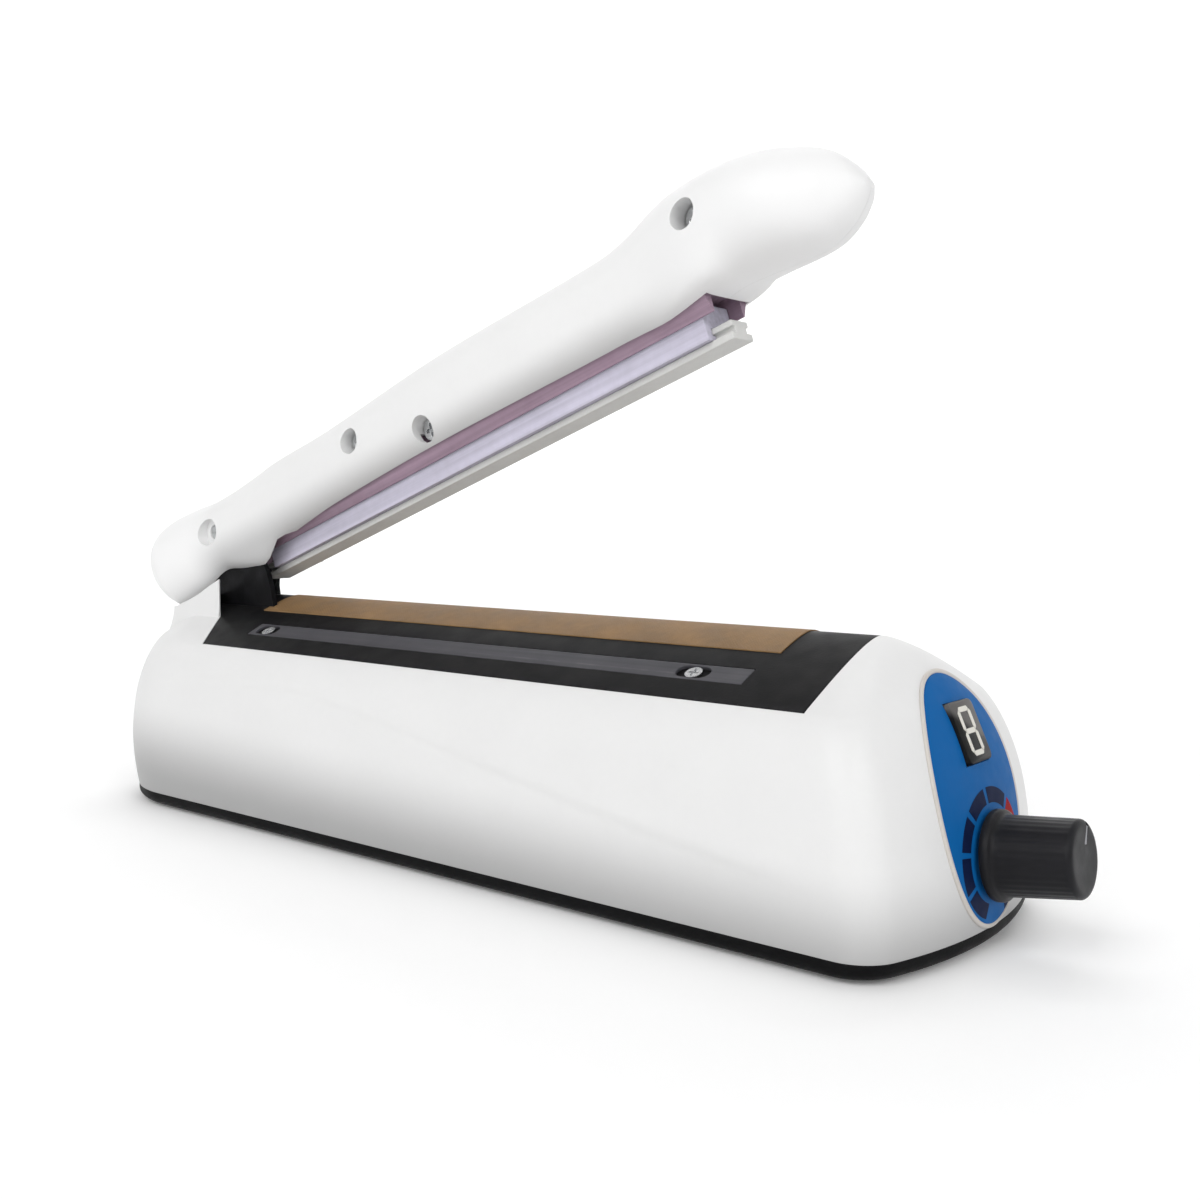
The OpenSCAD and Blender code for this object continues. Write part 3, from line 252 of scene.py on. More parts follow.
# Painted light: the arm's white is a lighter copy of the shell's white, darkens along the underside as
# painted shade and lightens towards the tail and the grip as painted highlights
ARM_WHITE_PAINTED_LIGHT = replace(
    WHITE_SHELL_PAINTED_SHADE, name="arm_white_painted_light", colour=(0.805, 0.805, 0.803), worn=(0.88, 0.88, 0.88),
    painted_light=(PaintedLight((0.53, 0.53, 0.53), ARM_DOWN, -0.127, -0.115),
           PaintedLight((0.86, 0.86, 0.86), ARM_BACK, 0.083, 0.105),
           PaintedLight((0.83, 0.83, 0.83), ARM_AHEAD, 0.094, 0.124)))
BLACK_BASE = Finish(
    "black_base", "black_base", (0.005, 0.005, 0.0055), 0.48, specular=0.06, grain=1500, depth=0.07,
    tone=0.08, wear=0.22, worn=(0.04, 0.04, 0.045))
BLACK_PLATE = Finish(
    "black_plate", "black_plate", (0.005, 0.005, 0.0058), 0.42, specular=0.06, grain=1700, depth=0.05,
    tone=0.08, wear=0.2, worn=(0.045, 0.045, 0.05), dust=0.015)
FOOT_RUBBER = Finish(
    "foot_rubber", "foot_rubber", (0.02, 0.02, 0.022), 0.75, grain=2400, depth=0.12, dust=0.08)
GLAND_RUBBER = Finish(
    "gland_rubber", "gland_rubber", (0.022, 0.022, 0.024), 0.62, grain=2400, depth=0.1)
TAPE = Finish(
    "release_tape", "release_tape", (0.235, 0.142, 0.066), 0.5, specular=0.12, pattern=Pattern.WOVEN,
    grain=1250, depth=0.16, tone=0.16, wear=0.0, dust=0.01)
UNDERLAY = Finish(
    "underlay_cloth", "underlay_cloth", (0.65, 0.62, 0.55), 0.8, pattern=Pattern.WOVEN, grain=900, depth=0.2,
    tone=0.08)
HEATING_ALLOY = Finish(
    "heating_alloy", "heating_alloy", (0.4, 0.38, 0.35), 0.32, metallic=1.0, pattern=Pattern.BRUSHED,
    grain=2600, tone=0.12)
CLAMP_GREY = Finish(
    "clamp_grey", "clamp_grey", (0.066, 0.065, 0.074), 0.5, specular=0.12, pattern=Pattern.BRUSHED,
    grain=2600, depth=0.05, tone=0.07, wear=0.3, worn=(0.3, 0.3, 0.32))
STEEL = Finish(
    "steel", "steel", (0.62, 0.63, 0.64), 0.24, metallic=1.0, pattern=Pattern.BRUSHED, grain=3000,
    depth=0.04, tone=0.08, wear=0.15, worn=(0.8, 0.8, 0.8))
BRASS = Finish(
    "brass", "brass", (0.6, 0.42, 0.16), 0.3, metallic=1.0, pattern=Pattern.BRUSHED, grain=2200, tone=0.1)
PANEL_BLUE = Finish(
    "panel_blue", "panel_blue", (0.0035, 0.112, 0.355), 0.5, specular=0.08, grain=2600, depth=0.02,
    tone=0.035, wear=0.0, dust=0.01)
DIAL_NAVY = Finish(
    "dial_navy", "panel_blue", (0.004, 0.0105, 0.046), 0.55, specular=0.08, grain=2600, depth=0.02,
    tone=0.05, wear=0.0, dust=0.0)
DIAL_RED = replace(DIAL_NAVY, name="dial_red", colour=(0.32, 0.002, 0.003))
PANEL_RIM = Finish(
    "panel_rim", "white_shell", (0.60, 0.565, 0.53), 0.45, grain=2200, depth=0.02, tone=0.04, wear=0.0)
# Painted reflection: the display's black turns grey towards its top and far side, as a sheen
DISPLAY_BLACK_PAINTED_REFLECTION = Finish(
    "display_black", "display_black", (0.005, 0.005, 0.0055), 0.3, coat=0.04, specular=0.12, grain=2600,
    depth=0.01, tone=0.15, wear=0.1, worn=(0.06, 0.06, 0.06),
    painted_light=(PaintedLight((0.11, 0.105, 0.1), (0, 0.5, 0.866), 0.0418, 0.0442),))
DISPLAY_WHITE = Finish(
    "display_white", "display_white", (0.74, 0.72, 0.66), 0.5, grain=3200, depth=0.02, tone=0.05, wear=0.0,
    dust=0.0)
KNOB_GREY = Finish(
    "knob_grey", "knob_grey", (0.0085, 0.0085, 0.0105), 0.42, specular=0.18, grain=2600, depth=0.04,
    tone=0.14, wear=0.3, worn=(0.07, 0.07, 0.078))
POINTER = Finish(
    "pointer_paint", "display_white", (0.26, 0.26, 0.28), 0.5, grain=3000, depth=0.02, tone=0.06, wear=0.0,
    dust=0.0)
BOARD_GREEN = Finish("board_green", "board_green", (0.02, 0.14, 0.05), 0.4, coat=0.3, grain=1200, tone=0.15)
RELAY_BLUE = Finish("relay_blue", "relay_blue", (0.03, 0.08, 0.24), 0.35, tone=0.05)
CONNECTOR_GREEN = Finish("connector_green", "connector_green", (0.08, 0.27, 0.1), 0.5, tone=0.06)
CORE_STEEL = Finish(
    "core_steel", "core_steel", (0.11, 0.12, 0.13), 0.5, metallic=0.7, pattern=Pattern.BRUSHED, grain=2200,
    depth=0.3, tone=0.15)
COPPER_COIL = Finish(
    "copper_coil", "copper_coil", (0.5, 0.13, 0.03), 0.35, metallic=0.8, pattern=Pattern.BRUSHED, grain=1600,
    depth=0.4, tone=0.15)
SWITCH_PLASTIC = Finish("switch_plastic", "switch_plastic", (0.017, 0.019, 0.025), 0.45, tone=0.06)
PLUNGER_PLASTIC = Finish("plunger_plastic", "plunger_plastic", (0.6, 0.58, 0.53), 0.4, tone=0.05)
RAIL_MAUVE = Finish(
    "rail_mauve", "rail_mauve", (0.33, 0.23, 0.3), 0.5, specular=0.25, pattern=Pattern.BRUSHED, grain=2400,
    depth=0.1, tone=0.1, wear=0.15, worn=(0.45, 0.4, 0.45), tilt=RAISED)
HOLDER_LAVENDER = Finish(
    "holder_lavender", "holder_lavender", (0.52, 0.5, 0.6), 0.5, specular=0.25, pattern=Pattern.BRUSHED,
    grain=2000, depth=0.1, tone=0.09, wear=0.15, worn=(0.5, 0.48, 0.53), tilt=RAISED)
SILICONE = Finish(
    "silicone", "silicone", (0.62, 0.62, 0.605), 0.55, grain=1700, depth=0.08, tone=0.06, wear=0.0,
    dust=0.05)

# Finish that each material slot of the frame gets
BY_SLOT: dict[str, Finish] = {f.slot: f for f in (
    WHITE_SHELL_PAINTED_SHADE, BLACK_BASE, BLACK_PLATE, FOOT_RUBBER, GLAND_RUBBER, TAPE, UNDERLAY, HEATING_ALLOY,
    CLAMP_GREY, STEEL, BRASS, PANEL_BLUE, DISPLAY_BLACK_PAINTED_REFLECTION, DISPLAY_WHITE, KNOB_GREY, BOARD_GREEN, RELAY_BLUE,
    CONNECTOR_GREEN, CORE_STEEL, COPPER_COIL, SWITCH_PLASTIC, PLUNGER_PLASTIC, RAIL_MAUVE, HOLDER_LAVENDER,
    SILICONE)}

# Sockets and values that the shader groups share
COLOUR_IN = ("Color", "NodeSocketColor", (0.5, 0.5, 0.5, 1.0))
AMOUNT_IN = ("Amount", "NodeSocketFloat", 0.03)
COLOUR_OUT = ("Color", "NodeSocketColor")
MASK_OUT = ("Mask", "NodeSocketFloat")
NOISE_SPAN = (0.3, 0.7)
DUST_COLOUR = (0.55, 0.53, 0.5, 1.0)
COAT_ROUGHNESS = 0.12
DUST_ROUGHNESS = 0.5
STREAK_TINT = 1.3
GRAIN_HEIGHT = 0.00012


class FinishShop:
    """Builds the shared shader groups once, and one material for each finish."""

    def __init__(self) -> None:
        """Makes the groups that the materials share."""
        self._made: dict[str, bpy.types.Material] = {}
        self.tone = self._tone_group()
        self.wear = self._wear_group()
        self.dust = self._dust_group()
        # Group that paints light and shade as soft fades
        self.fade = self._painted_light_group()
        self.grains = {
            Pattern.MOULDED: self._moulded_group(),
            Pattern.BRUSHED: self._brushed_group(),
            Pattern.WOVEN: self._woven_group(),
        }

    @staticmethod
    def _new_group(name: str, inputs: Sequence[tuple[str, str, object]],
                   outputs: Sequence[tuple[str, str]]) -> tuple[Tree, Node, Node]:
        """Starts a shader group.

        Args:
            name: Name of the group.
            inputs: Name, socket kind and start value of each input.
            outputs: Name and socket kind of each output.

        Returns:
            The group, its input node and its output node.
        """
        tree = bpy.data.node_groups.new(name, "ShaderNodeTree")
        for label, kind, value in inputs:
            socket = tree.interface.new_socket(name=label, in_out="INPUT", socket_type=kind)
            socket.default_value = value
        for label, kind in outputs:
            tree.interface.new_socket(name=label, in_out="OUTPUT", socket_type=kind)
        return tree, tree.nodes.new("NodeGroupInput"), tree.nodes.new("NodeGroupOutput")

    @staticmethod
    def _math(tree: Tree, kind: str, a: object, b: object) -> Socket:
        """Adds a Math node.

        Args:
            tree: Tree that gets the node.
            kind: Operation of the node.
            a: First socket or number.
            b: Second socket or number.

        Returns:
            The node's output.
        """
        node = tree.nodes.new("ShaderNodeMath")
        node.operation = kind
        for socket, value in zip(node.inputs, (a, b)):
            if isinstance(value, (int, float)):
                socket.default_value = value
            else:
                tree.links.new(value, socket)
        return node.outputs[0]

    @staticmethod
    def _spread(tree: Tree, value: Socket, low: float, high: float,
                to_low: float, to_high: float) -> Socket:
        """Adds a Map Range node.

        Args:
            tree: Tree that gets the node.
            value: Socket that is read.
            low: Lowest value read.
            high: Highest value read.
            to_low: Value given for low.
            to_high: Value given for high.

        Returns:
            The node's output.
        """
        node = tree.nodes.new("ShaderNodeMapRange")
        tree.links.new(value, node.inputs["Value"])
        labels = ("From Min", "From Max", "To Min", "To Max")
        for label, number in zip(labels, (low, high, to_low, to_high)):
            node.inputs[label].default_value = number
        return node.outputs["Result"]

    @staticmethod
    def _noise(tree: Tree, place: Socket, scale: object,
               detail: float = 3.0) -> Socket:
        """Adds a Noise Texture node.

        Args:
            tree: Tree that gets the node.
            place: Socket with the coordinates.
            scale: Socket or number for the scale.
            detail: Number of octaves.

        Returns:
            The noise value.
        """
        node = tree.nodes.new("ShaderNodeTexNoise")
        node.inputs["Detail"].default_value = detail
        tree.links.new(place, node.inputs["Vector"])
        if isinstance(scale, (int, float)):
            node.inputs["Scale"].default_value = scale
        else:
            tree.links.new(scale, node.inputs["Scale"])
        return node.outputs["Fac"]

    @staticmethod
    def _place(tree: Tree) -> Socket:
        """Adds the object's own coordinates and returns them."""
        return tree.nodes.new("ShaderNodeTexCoord").outputs["Object"]

    @staticmethod
    def _blend(tree: Tree, share: Socket, a: Socket,
               b: object) -> Socket:
        """Adds a colour mix.

        Args:
            tree: Tree that gets the node.
            share: Socket with the share of the second colour.
            a: First colour socket.
            b: Second colour, as a socket or a colour.

        Returns:
            The mixed colour.
        """
        node = tree.nodes.new("ShaderNodeMix")
        node.data_type = "RGBA"
        tree.links.new(share, node.inputs["Factor"])
        tree.links.new(a, node.inputs["A"])
        if isinstance(b, tuple):
            node.inputs["B"].default_value = b
        else:
            tree.links.new(b, node.inputs["B"])
        return node.outputs["Result"]

    def _cover(self, tree: Tree, start: Node, end: Node, where: Socket, patchy: Socket,
               cover: object) -> None:
        """Lays a cover over a group's colour, and gives out the colour and the mask.

        Args:
            tree: Group that is built.
            start: Its input node, with a colour and an amount.
            end: Its output node.
            where: Socket with the cover's share by place.
            patchy: Socket that breaks the cover up.
            cover: Colour of the cover, as a socket or a colour.
        """
        mask = self._math(tree, "MULTIPLY", where, patchy)
        mask = self._math(tree, "MULTIPLY", mask, start.outputs["Amount"])
        mixed = self._blend(tree, mask, start.outputs["Color"], cover)
        tree.links.new(mixed, end.inputs["Color"])
        tree.links.new(mask, end.inputs["Mask"])

    def _tone_group(self) -> Tree:
        """Builds the group for slow drifts of colour and returns it."""
        tree, start, end = self._new_group("tone_drift", [COLOUR_IN, AMOUNT_IN], [COLOUR_OUT])
        broad = self._noise(tree, self._place(tree), 38.0, 2.0)
        fine = self._noise(tree, self._place(tree), 420.0, 3.0)
        both = self._math(tree, "ADD", self._math(tree, "MULTIPLY", broad, 0.65),
                          self._math(tree, "MULTIPLY", fine, 0.35))
        drift = self._spread(tree, both, *NOISE_SPAN, -1.0, 1.0)
        value = self._math(tree, "ADD", self._math(tree, "MULTIPLY", drift, start.outputs["Amount"]), 1.0)
        hsv = tree.nodes.new("ShaderNodeHueSaturation")
        tree.links.new(start.outputs["Color"], hsv.inputs["Color"])
        tree.links.new(value, hsv.inputs["Value"])
        tree.links.new(hsv.outputs["Color"], end.inputs["Color"])
        return tree

    def _wear_group(self) -> Tree:
        """Builds the group for rubbed edges and returns it."""
        worn_in = ("Worn Color", "NodeSocketColor", (0.6, 0.6, 0.6, 1.0))
        tree, start, end = self._new_group(
            "edge_wear", [COLOUR_IN, worn_in, AMOUNT_IN], [COLOUR_OUT, MASK_OUT])
        edge = tree.nodes.new("ShaderNodeNewGeometry").outputs["Pointiness"]
        sharp = self._spread(tree, edge, 0.53, 0.62, 0.0, 1.0)
        patchy = self._spread(tree, self._noise(tree, self._place(tree), 160.0, 4.0), 0.4, 0.65, 0.1, 1.0)
        self._cover(tree, start, end, sharp, patchy, start.outputs["Worn Color"])
        return tree

    def _dust_group(self) -> Tree:
        """Builds the group for dust on upward faces and returns it."""
        tree, start, end = self._new_group("dust_film", [COLOUR_IN, AMOUNT_IN], [COLOUR_OUT, MASK_OUT])
        split = tree.nodes.new("ShaderNodeSeparateXYZ")
        tree.links.new(tree.nodes.new("ShaderNodeNewGeometry").outputs["Normal"], split.inputs[0])
        upward = self._spread(tree, split.outputs["Z"], 0.35, 1.0, 0.0, 1.0)
        patchy = self._spread(tree, self._noise(tree, self._place(tree), 70.0, 5.0), 0.35, 0.7, 0.0, 1.0)
        self._cover(tree, start, end, upward, patchy, DUST_COLOUR)
        return tree

    def _painted_light_group(self) -> Tree:
        """Builds the group that paints light or shade as a fade between two colours along a direction, and
        returns it.
        """
        tree, start, end = self._new_group(
            "painted_light_fade",
            [COLOUR_IN, ("Far Color", "NodeSocketColor", (0.3, 0.3, 0.3, 1.0)),
             ("Direction", "NodeSocketVector", (0.0, 0.0, 1.0)), ("Low", "NodeSocketFloat", 0.0),
             ("High", "NodeSocketFloat", 0.01)],
            [COLOUR_OUT])
        along = tree.nodes.new("ShaderNodeVectorMath")
        along.operation = "DOT_PRODUCT"
        tree.links.new(self._place(tree), along.inputs[0])
        tree.links.new(start.outputs["Direction"], along.inputs[1])
        share = tree.nodes.new("ShaderNodeMapRange")
        share.interpolation_type = "SMOOTHSTEP"
        tree.links.new(along.outputs["Value"], share.inputs["Value"])
        tree.links.new(start.outputs["Low"], share.inputs["From Min"])
        tree.links.new(start.outputs["High"], share.inputs["From Max"])
        mixed = self._blend(tree, share.outputs["Result"], start.outputs["Color"],
                            start.outputs["Far Color"])
        tree.links.new(mixed, end.inputs["Color"])
        return tree

    def _grain_ends(self, name: str) -> tuple[Tree, Node, Node]:
        """Starts a grain group with the usual sockets and returns it with its ends."""
        return self._new_group(
            name, [("Scale", "NodeSocketFloat", 1400.0), ("Tilt", "NodeSocketFloat", 0.0)],
            [("Height", "NodeSocketFloat"), ("Streak", "NodeSocketFloat")])

    def _moulded_group(self) -> Tree:
        """Builds the fine skin of a moulding and returns it."""
        tree, start, end = self._grain_ends("moulded_skin")
        place = self._place(tree)
        height = self._noise(tree, place, start.outputs["Scale"], 2.0)
        streak = self._noise(tree, place, self._math(tree, "MULTIPLY", start.outputs["Scale"], 0.09), 4.0)
        tree.links.new(height, end.inputs["Height"])
        tree.links.new(streak, end.inputs["Streak"])
        return tree

    def _brushed_group(self) -> Tree:
        """Builds fine lines along the piece and returns the group."""
        tree, start, end = self._grain_ends("brushed_lines")
        turn = tree.nodes.new("ShaderNodeVectorRotate")
        turn.rotation_type = "Y_AXIS"
        tree.links.new(self._place(tree), turn.inputs["Vector"])
        tree.links.new(start.outputs["Tilt"], turn.inputs["Angle"])
        stretch = tree.nodes.new("ShaderNodeVectorMath")
        stretch.operation = "MULTIPLY"
        stretch.inputs[1].default_value = (0.012, 1.0, 1.0)
        tree.links.new(turn.outputs["Vector"], stretch.inputs[0])
        line = stretch.outputs["Vector"]
        tree.links.new(self._noise(tree, line, start.outputs["Scale"], 3.0), end.inputs["Height"])
        broad = self._math(tree, "MULTIPLY", start.outputs["Scale"], 0.3)
        tree.links.new(self._noise(tree, line, broad, 3.0), end.inputs["Streak"])
        return tree

    def _woven_group(self) -> Tree:
        """Builds a plain weave and returns the group."""
        tree, start, end = self._grain_ends("plain_weave")
        split = tree.nodes.new("ShaderNodeSeparateXYZ")
        tree.links.new(self._place(tree), split.inputs[0])
        turn = self._math(tree, "MULTIPLY", start.outputs["Scale"], 2 * math.pi)
        warp = self._math(tree, "SINE", self._math(tree, "MULTIPLY", split.outputs["X"], turn), 0.0)
        weft = self._math(tree, "SINE", self._math(tree, "MULTIPLY", split.outputs["Y"], turn), 0.0)
        over = self._math(tree, "MULTIPLY", warp, weft)
        tree.links.new(self._spread(tree, over, -1.0, 1.0, 0.0, 1.0), end.inputs["Height"])
        tree.links.new(self._noise(tree, self._place(tree), 110.0, 5.0), end.inputs["Streak"])
        return tree

    def material(self, finish: Finish) -> bpy.types.Material:
        """Gives a finish's material, and builds it the first time.

        Args:
            finish: Finish to build.

        Returns:
            The material.
        """
        if finish.name in self._made:
            return self._made[finish.name]
        made = bpy.data.materials.new(finish.name)
        made.use_nodes = True
        tree = made.node_tree
        tree.nodes.clear()
        shader = tree.nodes.new("ShaderNodeBsdfPrincipled")
        out = tree.nodes.new("ShaderNodeOutputMaterial")
        tree.links.new(shader.outputs["BSDF"], out.inputs["Surface"])
        shader.inputs["Metallic"].default_value = finish.metallic
        shader.inputs["Specular IOR Level"].default_value = finish.specular
        shader.inputs["Coat Weight"].default_value = finish.coat
        shader.inputs["Coat Roughness"].default_value = COAT_ROUGHNESS
        made.diffuse_color = (*finish.colour, 1.0)

        tone = self._use(tree, self.tone, {"Color": (*finish.colour, 1.0), "Amount": finish.tone})
        wear = self._use(tree, self.wear, {"Worn Color": (*finish.worn, 1.0), "Amount": finish.wear})
        dust = self._use(tree, self.dust, {"Amount": finish.dust})
        grain = self._use(tree, self.grains[finish.pattern],
                          {"Scale": finish.grain, "Tilt": math.radians(finish.tilt)})
        tree.links.new(tone.outputs["Color"], wear.inputs["Color"])
        tree.links.new(wear.outputs["Color"], dust.inputs["Color"])
        colour = dust.outputs["Color"]
        # Painted light and shade, laid over the colour
        for fade in finish.painted_light:
            with_painted_light = self._use(tree, self.fade, {
                "Far Color": (*fade.colour, 1.0), "Direction": fade.direction,
                "Low": fade.low, "High": fade.high})
            tree.links.new(colour, with_painted_light.inputs["Color"])
            colour = with_painted_light.outputs["Color"]
        if finish.pattern is not Pattern.MOULDED:
            hsv = tree.nodes.new("ShaderNodeHueSaturation")
            tint = STREAK_TINT * finish.streak
            shade = self._spread(tree, grain.outputs["Streak"], *NOISE_SPAN, 1 - tint, 1 + tint)
            tree.links.new(shade, hsv.inputs["Value"])
            tree.links.new(colour, hsv.inputs["Color"])
            colour = hsv.outputs["Color"]
        tree.links.new(colour, shader.inputs["Base Color"])
        rough = self._spread(tree, grain.outputs["Streak"], *NOISE_SPAN,
                             finish.roughness * (1 - finish.streak), finish.roughness * (1 + finish.streak))
        dusty = self._math(tree, "MULTIPLY", dust.outputs["Mask"], DUST_ROUGHNESS)
        rough = self._math(tree, "ADD", rough, dusty)
        tree.links.new(rough, shader.inputs["Roughness"])
        bump = tree.nodes.new("ShaderNodeBump")
        bump.inputs["Strength"].default_value = min(1.0, finish.depth * 4)
        bump.inputs["Distance"].default_value = GRAIN_HEIGHT
        tree.links.new(grain.outputs["Height"], bump.inputs["Height"])
        tree.links.new(bump.outputs["Normal"], shader.inputs["Normal"])
        self._made[finish.name] = made
        return made

    @staticmethod
    def _use(tree: Tree, group: Tree, values: dict[str, object]) -> Node:
        """Places a group in a material.

        Args:
            tree: Tree of the material.
            group: Group to place.
            values: Values of its inputs.

        Returns:
            The placed node.
        """
        node = tree.nodes.new("ShaderNodeGroup")
        node.node_tree = group
        for label, value in values.items():
            node.inputs[label].default_value = value
        return node


# Mesh work

class Bench:
    """Makes mesh pieces in millimetres, cuts them and ties them to the frame."""

    def __init__(self, frame: dict) -> None:
        """Keeps the frame's nodes and bodies.

        Args:
            frame: What the frame loader gave.
        """
        self.nodes: dict[str, Piece] = frame["nodes"]
        record = frame["record"]
        bodies = record["behaviour"]["bodies"]
        self.body_of: dict[str, str] = {node: body for body, names in bodies.items() for node in names}
        self.slot_of: dict[str, str] = {s["node"]: s["material_slot"] for s in record["subparts"]}
        self.finishes = FinishShop()

    def raw(self, name: str, points: Sequence[Sequence[float]], faces: Sequence[Sequence[int]],
            place: Optional[Matrix] = None) -> Piece:
        """Makes a mesh object with its faces turned outward.

        Args:
            name: Name of the object.
            points: Vertices in millimetres.
            faces: Vertex numbers of each face.
            place: Frame that the points are in, in millimetres.

        Returns:
            The object, linked to the scene.
        """
        frame = place or Matrix.Identity(4)
        mesh = bpy.data.meshes.new(name)
        mesh.from_pydata([tuple((frame @ Vector(p)) * MM) for p in points], [], [tuple(f) for f in faces])
        work = bmesh.new()
        work.from_mesh(mesh)
        bmesh.ops.remove_doubles(work, verts=work.verts, dist=2e-7)
        bmesh.ops.recalc_face_normals(work, faces=work.faces)
        work.to_mesh(mesh)
        work.free()
        obj = bpy.data.objects.new(name, mesh)
        bpy.context.scene.collection.objects.link(obj)
        return obj

    def skin(self, name: str, rings: Sequence[Ring], place: Optional[Matrix] = None,
             capped: bool = True) -> Piece:
        """Makes a skin over closed rings with equal point counts.

        Args:
            name: Name of the object.
            rings: Rings in order.
            place: Frame that the rings are in.
            capped: Whether the first and last ring are closed.

        Returns:
            The object.
        """
        count = len(rings[0])
        faces: list[list[int]] = []
        for i in range(len(rings) - 1):
            a, b = i * count, (i + 1) * count
            faces += [[a + j, a + (j + 1) % count, b + (j + 1) % count, b + j] for j in range(count)]
        if capped:
            faces += [list(range(count)), list(range((len(rings) - 1) * count, len(rings) * count))]
        return self.raw(name, [p for ring in rings for p in ring], faces, place)

    def prism(self, name: str, outline: Sequence[Point2], axis: str, low: float, high: float,
              place: Optional[Matrix] = None) -> Piece:
        """Makes a prism from a flat outline.

        Args:
            name: Name of the object.
            outline: Outline in the plane square to the axis.
            axis: X, Y or Z.
            low: Start along the axis.
            high: End along the axis.
            place: Frame that the prism is in.

        Returns:
            The object.
        """
        def lift(p: Point2, h: float) -> Point3:
            """Puts a point of the outline at a height along the axis."""
            return {"X": (h, p[0], p[1]), "Y": (p[0], h, p[1]), "Z": (p[0], p[1], h)}[axis]
        return self.skin(name, [[lift(p, h) for p in outline] for h in (low, high)], place)

    def block(self, name: str, low: Point3, high: Point3, place: Optional[Matrix] = None) -> Piece:
        """Makes a cutting block between two corners.

        Args:
            name: Name of the object.
            low: Lowest corner.
            high: Highest corner.
            place: Frame that the block is in.

        Returns:
            The object.
        """
        outline = [(low[0], low[1]), (high[0], low[1]), (high[0], high[1]), (low[0], high[1])]
        return self.prism(name, outline, "Z", low[2], high[2], place)

    def lathe(self, name: str, profile: Sequence[Point2], place: Matrix, sides: int = 64) -> Piece:
        """Turns a profile about the frame's Z axis.

        Args:
            name: Name of the object.
            profile: Radius and height from one end to the other.
            place: Frame of the axis.
            sides: Number of points around.

        Returns:
            The object.
        """
        rings = [[(r * math.cos(2 * math.pi * k / sides), r * math.sin(2 * math.pi * k / sides), h)
                  for k in range(sides)] for r, h in profile]
        return self.skin(name, rings, place)

    def rod(self, name: str, radius: float, low: float, high: float, place: Matrix,
            sides: int = 48) -> Piece:
        """Makes a cutting rod along the frame's Z axis.

        Args:
            name: Name of the object.
            radius: Radius of the rod.
            low: Start along the axis.
            high: End along the axis.
            place: Frame of the axis.
            sides: Number of points around.

        Returns:
            The object.
        """
        return self.lathe(name, [(radius, low), (radius, high)], place, sides)

    def settle(self, obj: Piece) -> None:
        """Replaces an object's mesh by the result of its modifiers.

        Args:
            obj: Object whose modifiers are used up.
        """
        deps = bpy.context.evaluated_depsgraph_get()
        made = bpy.data.meshes.new_from_object(
            obj.evaluated_get(deps), preserve_all_data_layers=True, depsgraph=deps)
        old = obj.data
        obj.modifiers.clear()
        obj.data = made
        made.name = obj.name
        bpy.data.meshes.remove(old)

    def carve(self, obj: Piece, tools: Sequence[Piece], how: str = "DIFFERENCE") -> None:
        """Cuts an object with tools, which are used up.

        Args:
            obj: Object to cut.
            tools: Closed cutting objects.
            how: Kind of boolean.
        """
        for tool in tools:
            cut = obj.modifiers.new("cut", "BOOLEAN")
            cut.solver = "MANIFOLD"
            cut.operation = how
            cut.object = tool
        self.settle(obj)
        for tool in tools:
            bpy.data.objects.remove(tool, do_unlink=True)

    def soften(self, obj: Piece, width: float, segments: int = 3, angle: float = 32.0) -> None:
        """Rounds an object's edges.

        Args:
            obj: Object to round.
            width: Width of the rounding in millimetres.
            segments: Faces across the rounding.
            angle: Smallest angle of an edge that is rounded, in degrees.
        """
        edge = obj.modifiers.new("round", "BEVEL")
        edge.width = width * MM
        edge.segments = segments
        edge.limit_method = "ANGLE"
        edge.angle_limit = math.radians(angle)
        edge.harden_normals = False
        self.settle(obj)

    @staticmethod
    def shade(obj: Piece, angle: float = 40.0) -> None:
        """Shades an object smooth.

        Args:
            obj: Object to shade.
            angle: Angle over which edges stay sharp, in degrees.
        """
        for polygon in obj.data.polygons:
            polygon.use_smooth = True
        obj.data.set_sharp_from_angle(angle=math.radians(angle))

    def even_shade(self, obj: Piece, angle: float = 40.0) -> None:
        """Shades an object with large flat faces, so that they stay flat.

        Args:
            obj: Object to shade.
            angle: Angle over which edges stay sharp, in degrees.
        """
        self.shade(obj, angle)
        weigh = obj.modifiers.new("weigh", "WEIGHTED_NORMAL")
        weigh.keep_sharp = True
        weigh.weight = 100
        self.settle(obj)

    def place(self, obj: Piece, body: Body, finish: Finish, *nodes: str) -> Piece:
        """Ties a piece to a body, dresses it and logs it.

        Args:
            obj: Piece to place.
            body: Body that it moves with.
            finish: Finish of the piece.
            nodes: Nodes of the frame that it stands for.

        Returns:
            The piece.
        """
        obj.data.materials.clear()
        obj.data.materials.append(self.finishes.material(finish))
        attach(obj, body.value)
        if nodes:
            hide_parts(*nodes)
        log.info("piece %s rides on %s in %s", obj.name, body.value, finish.name)
        return obj

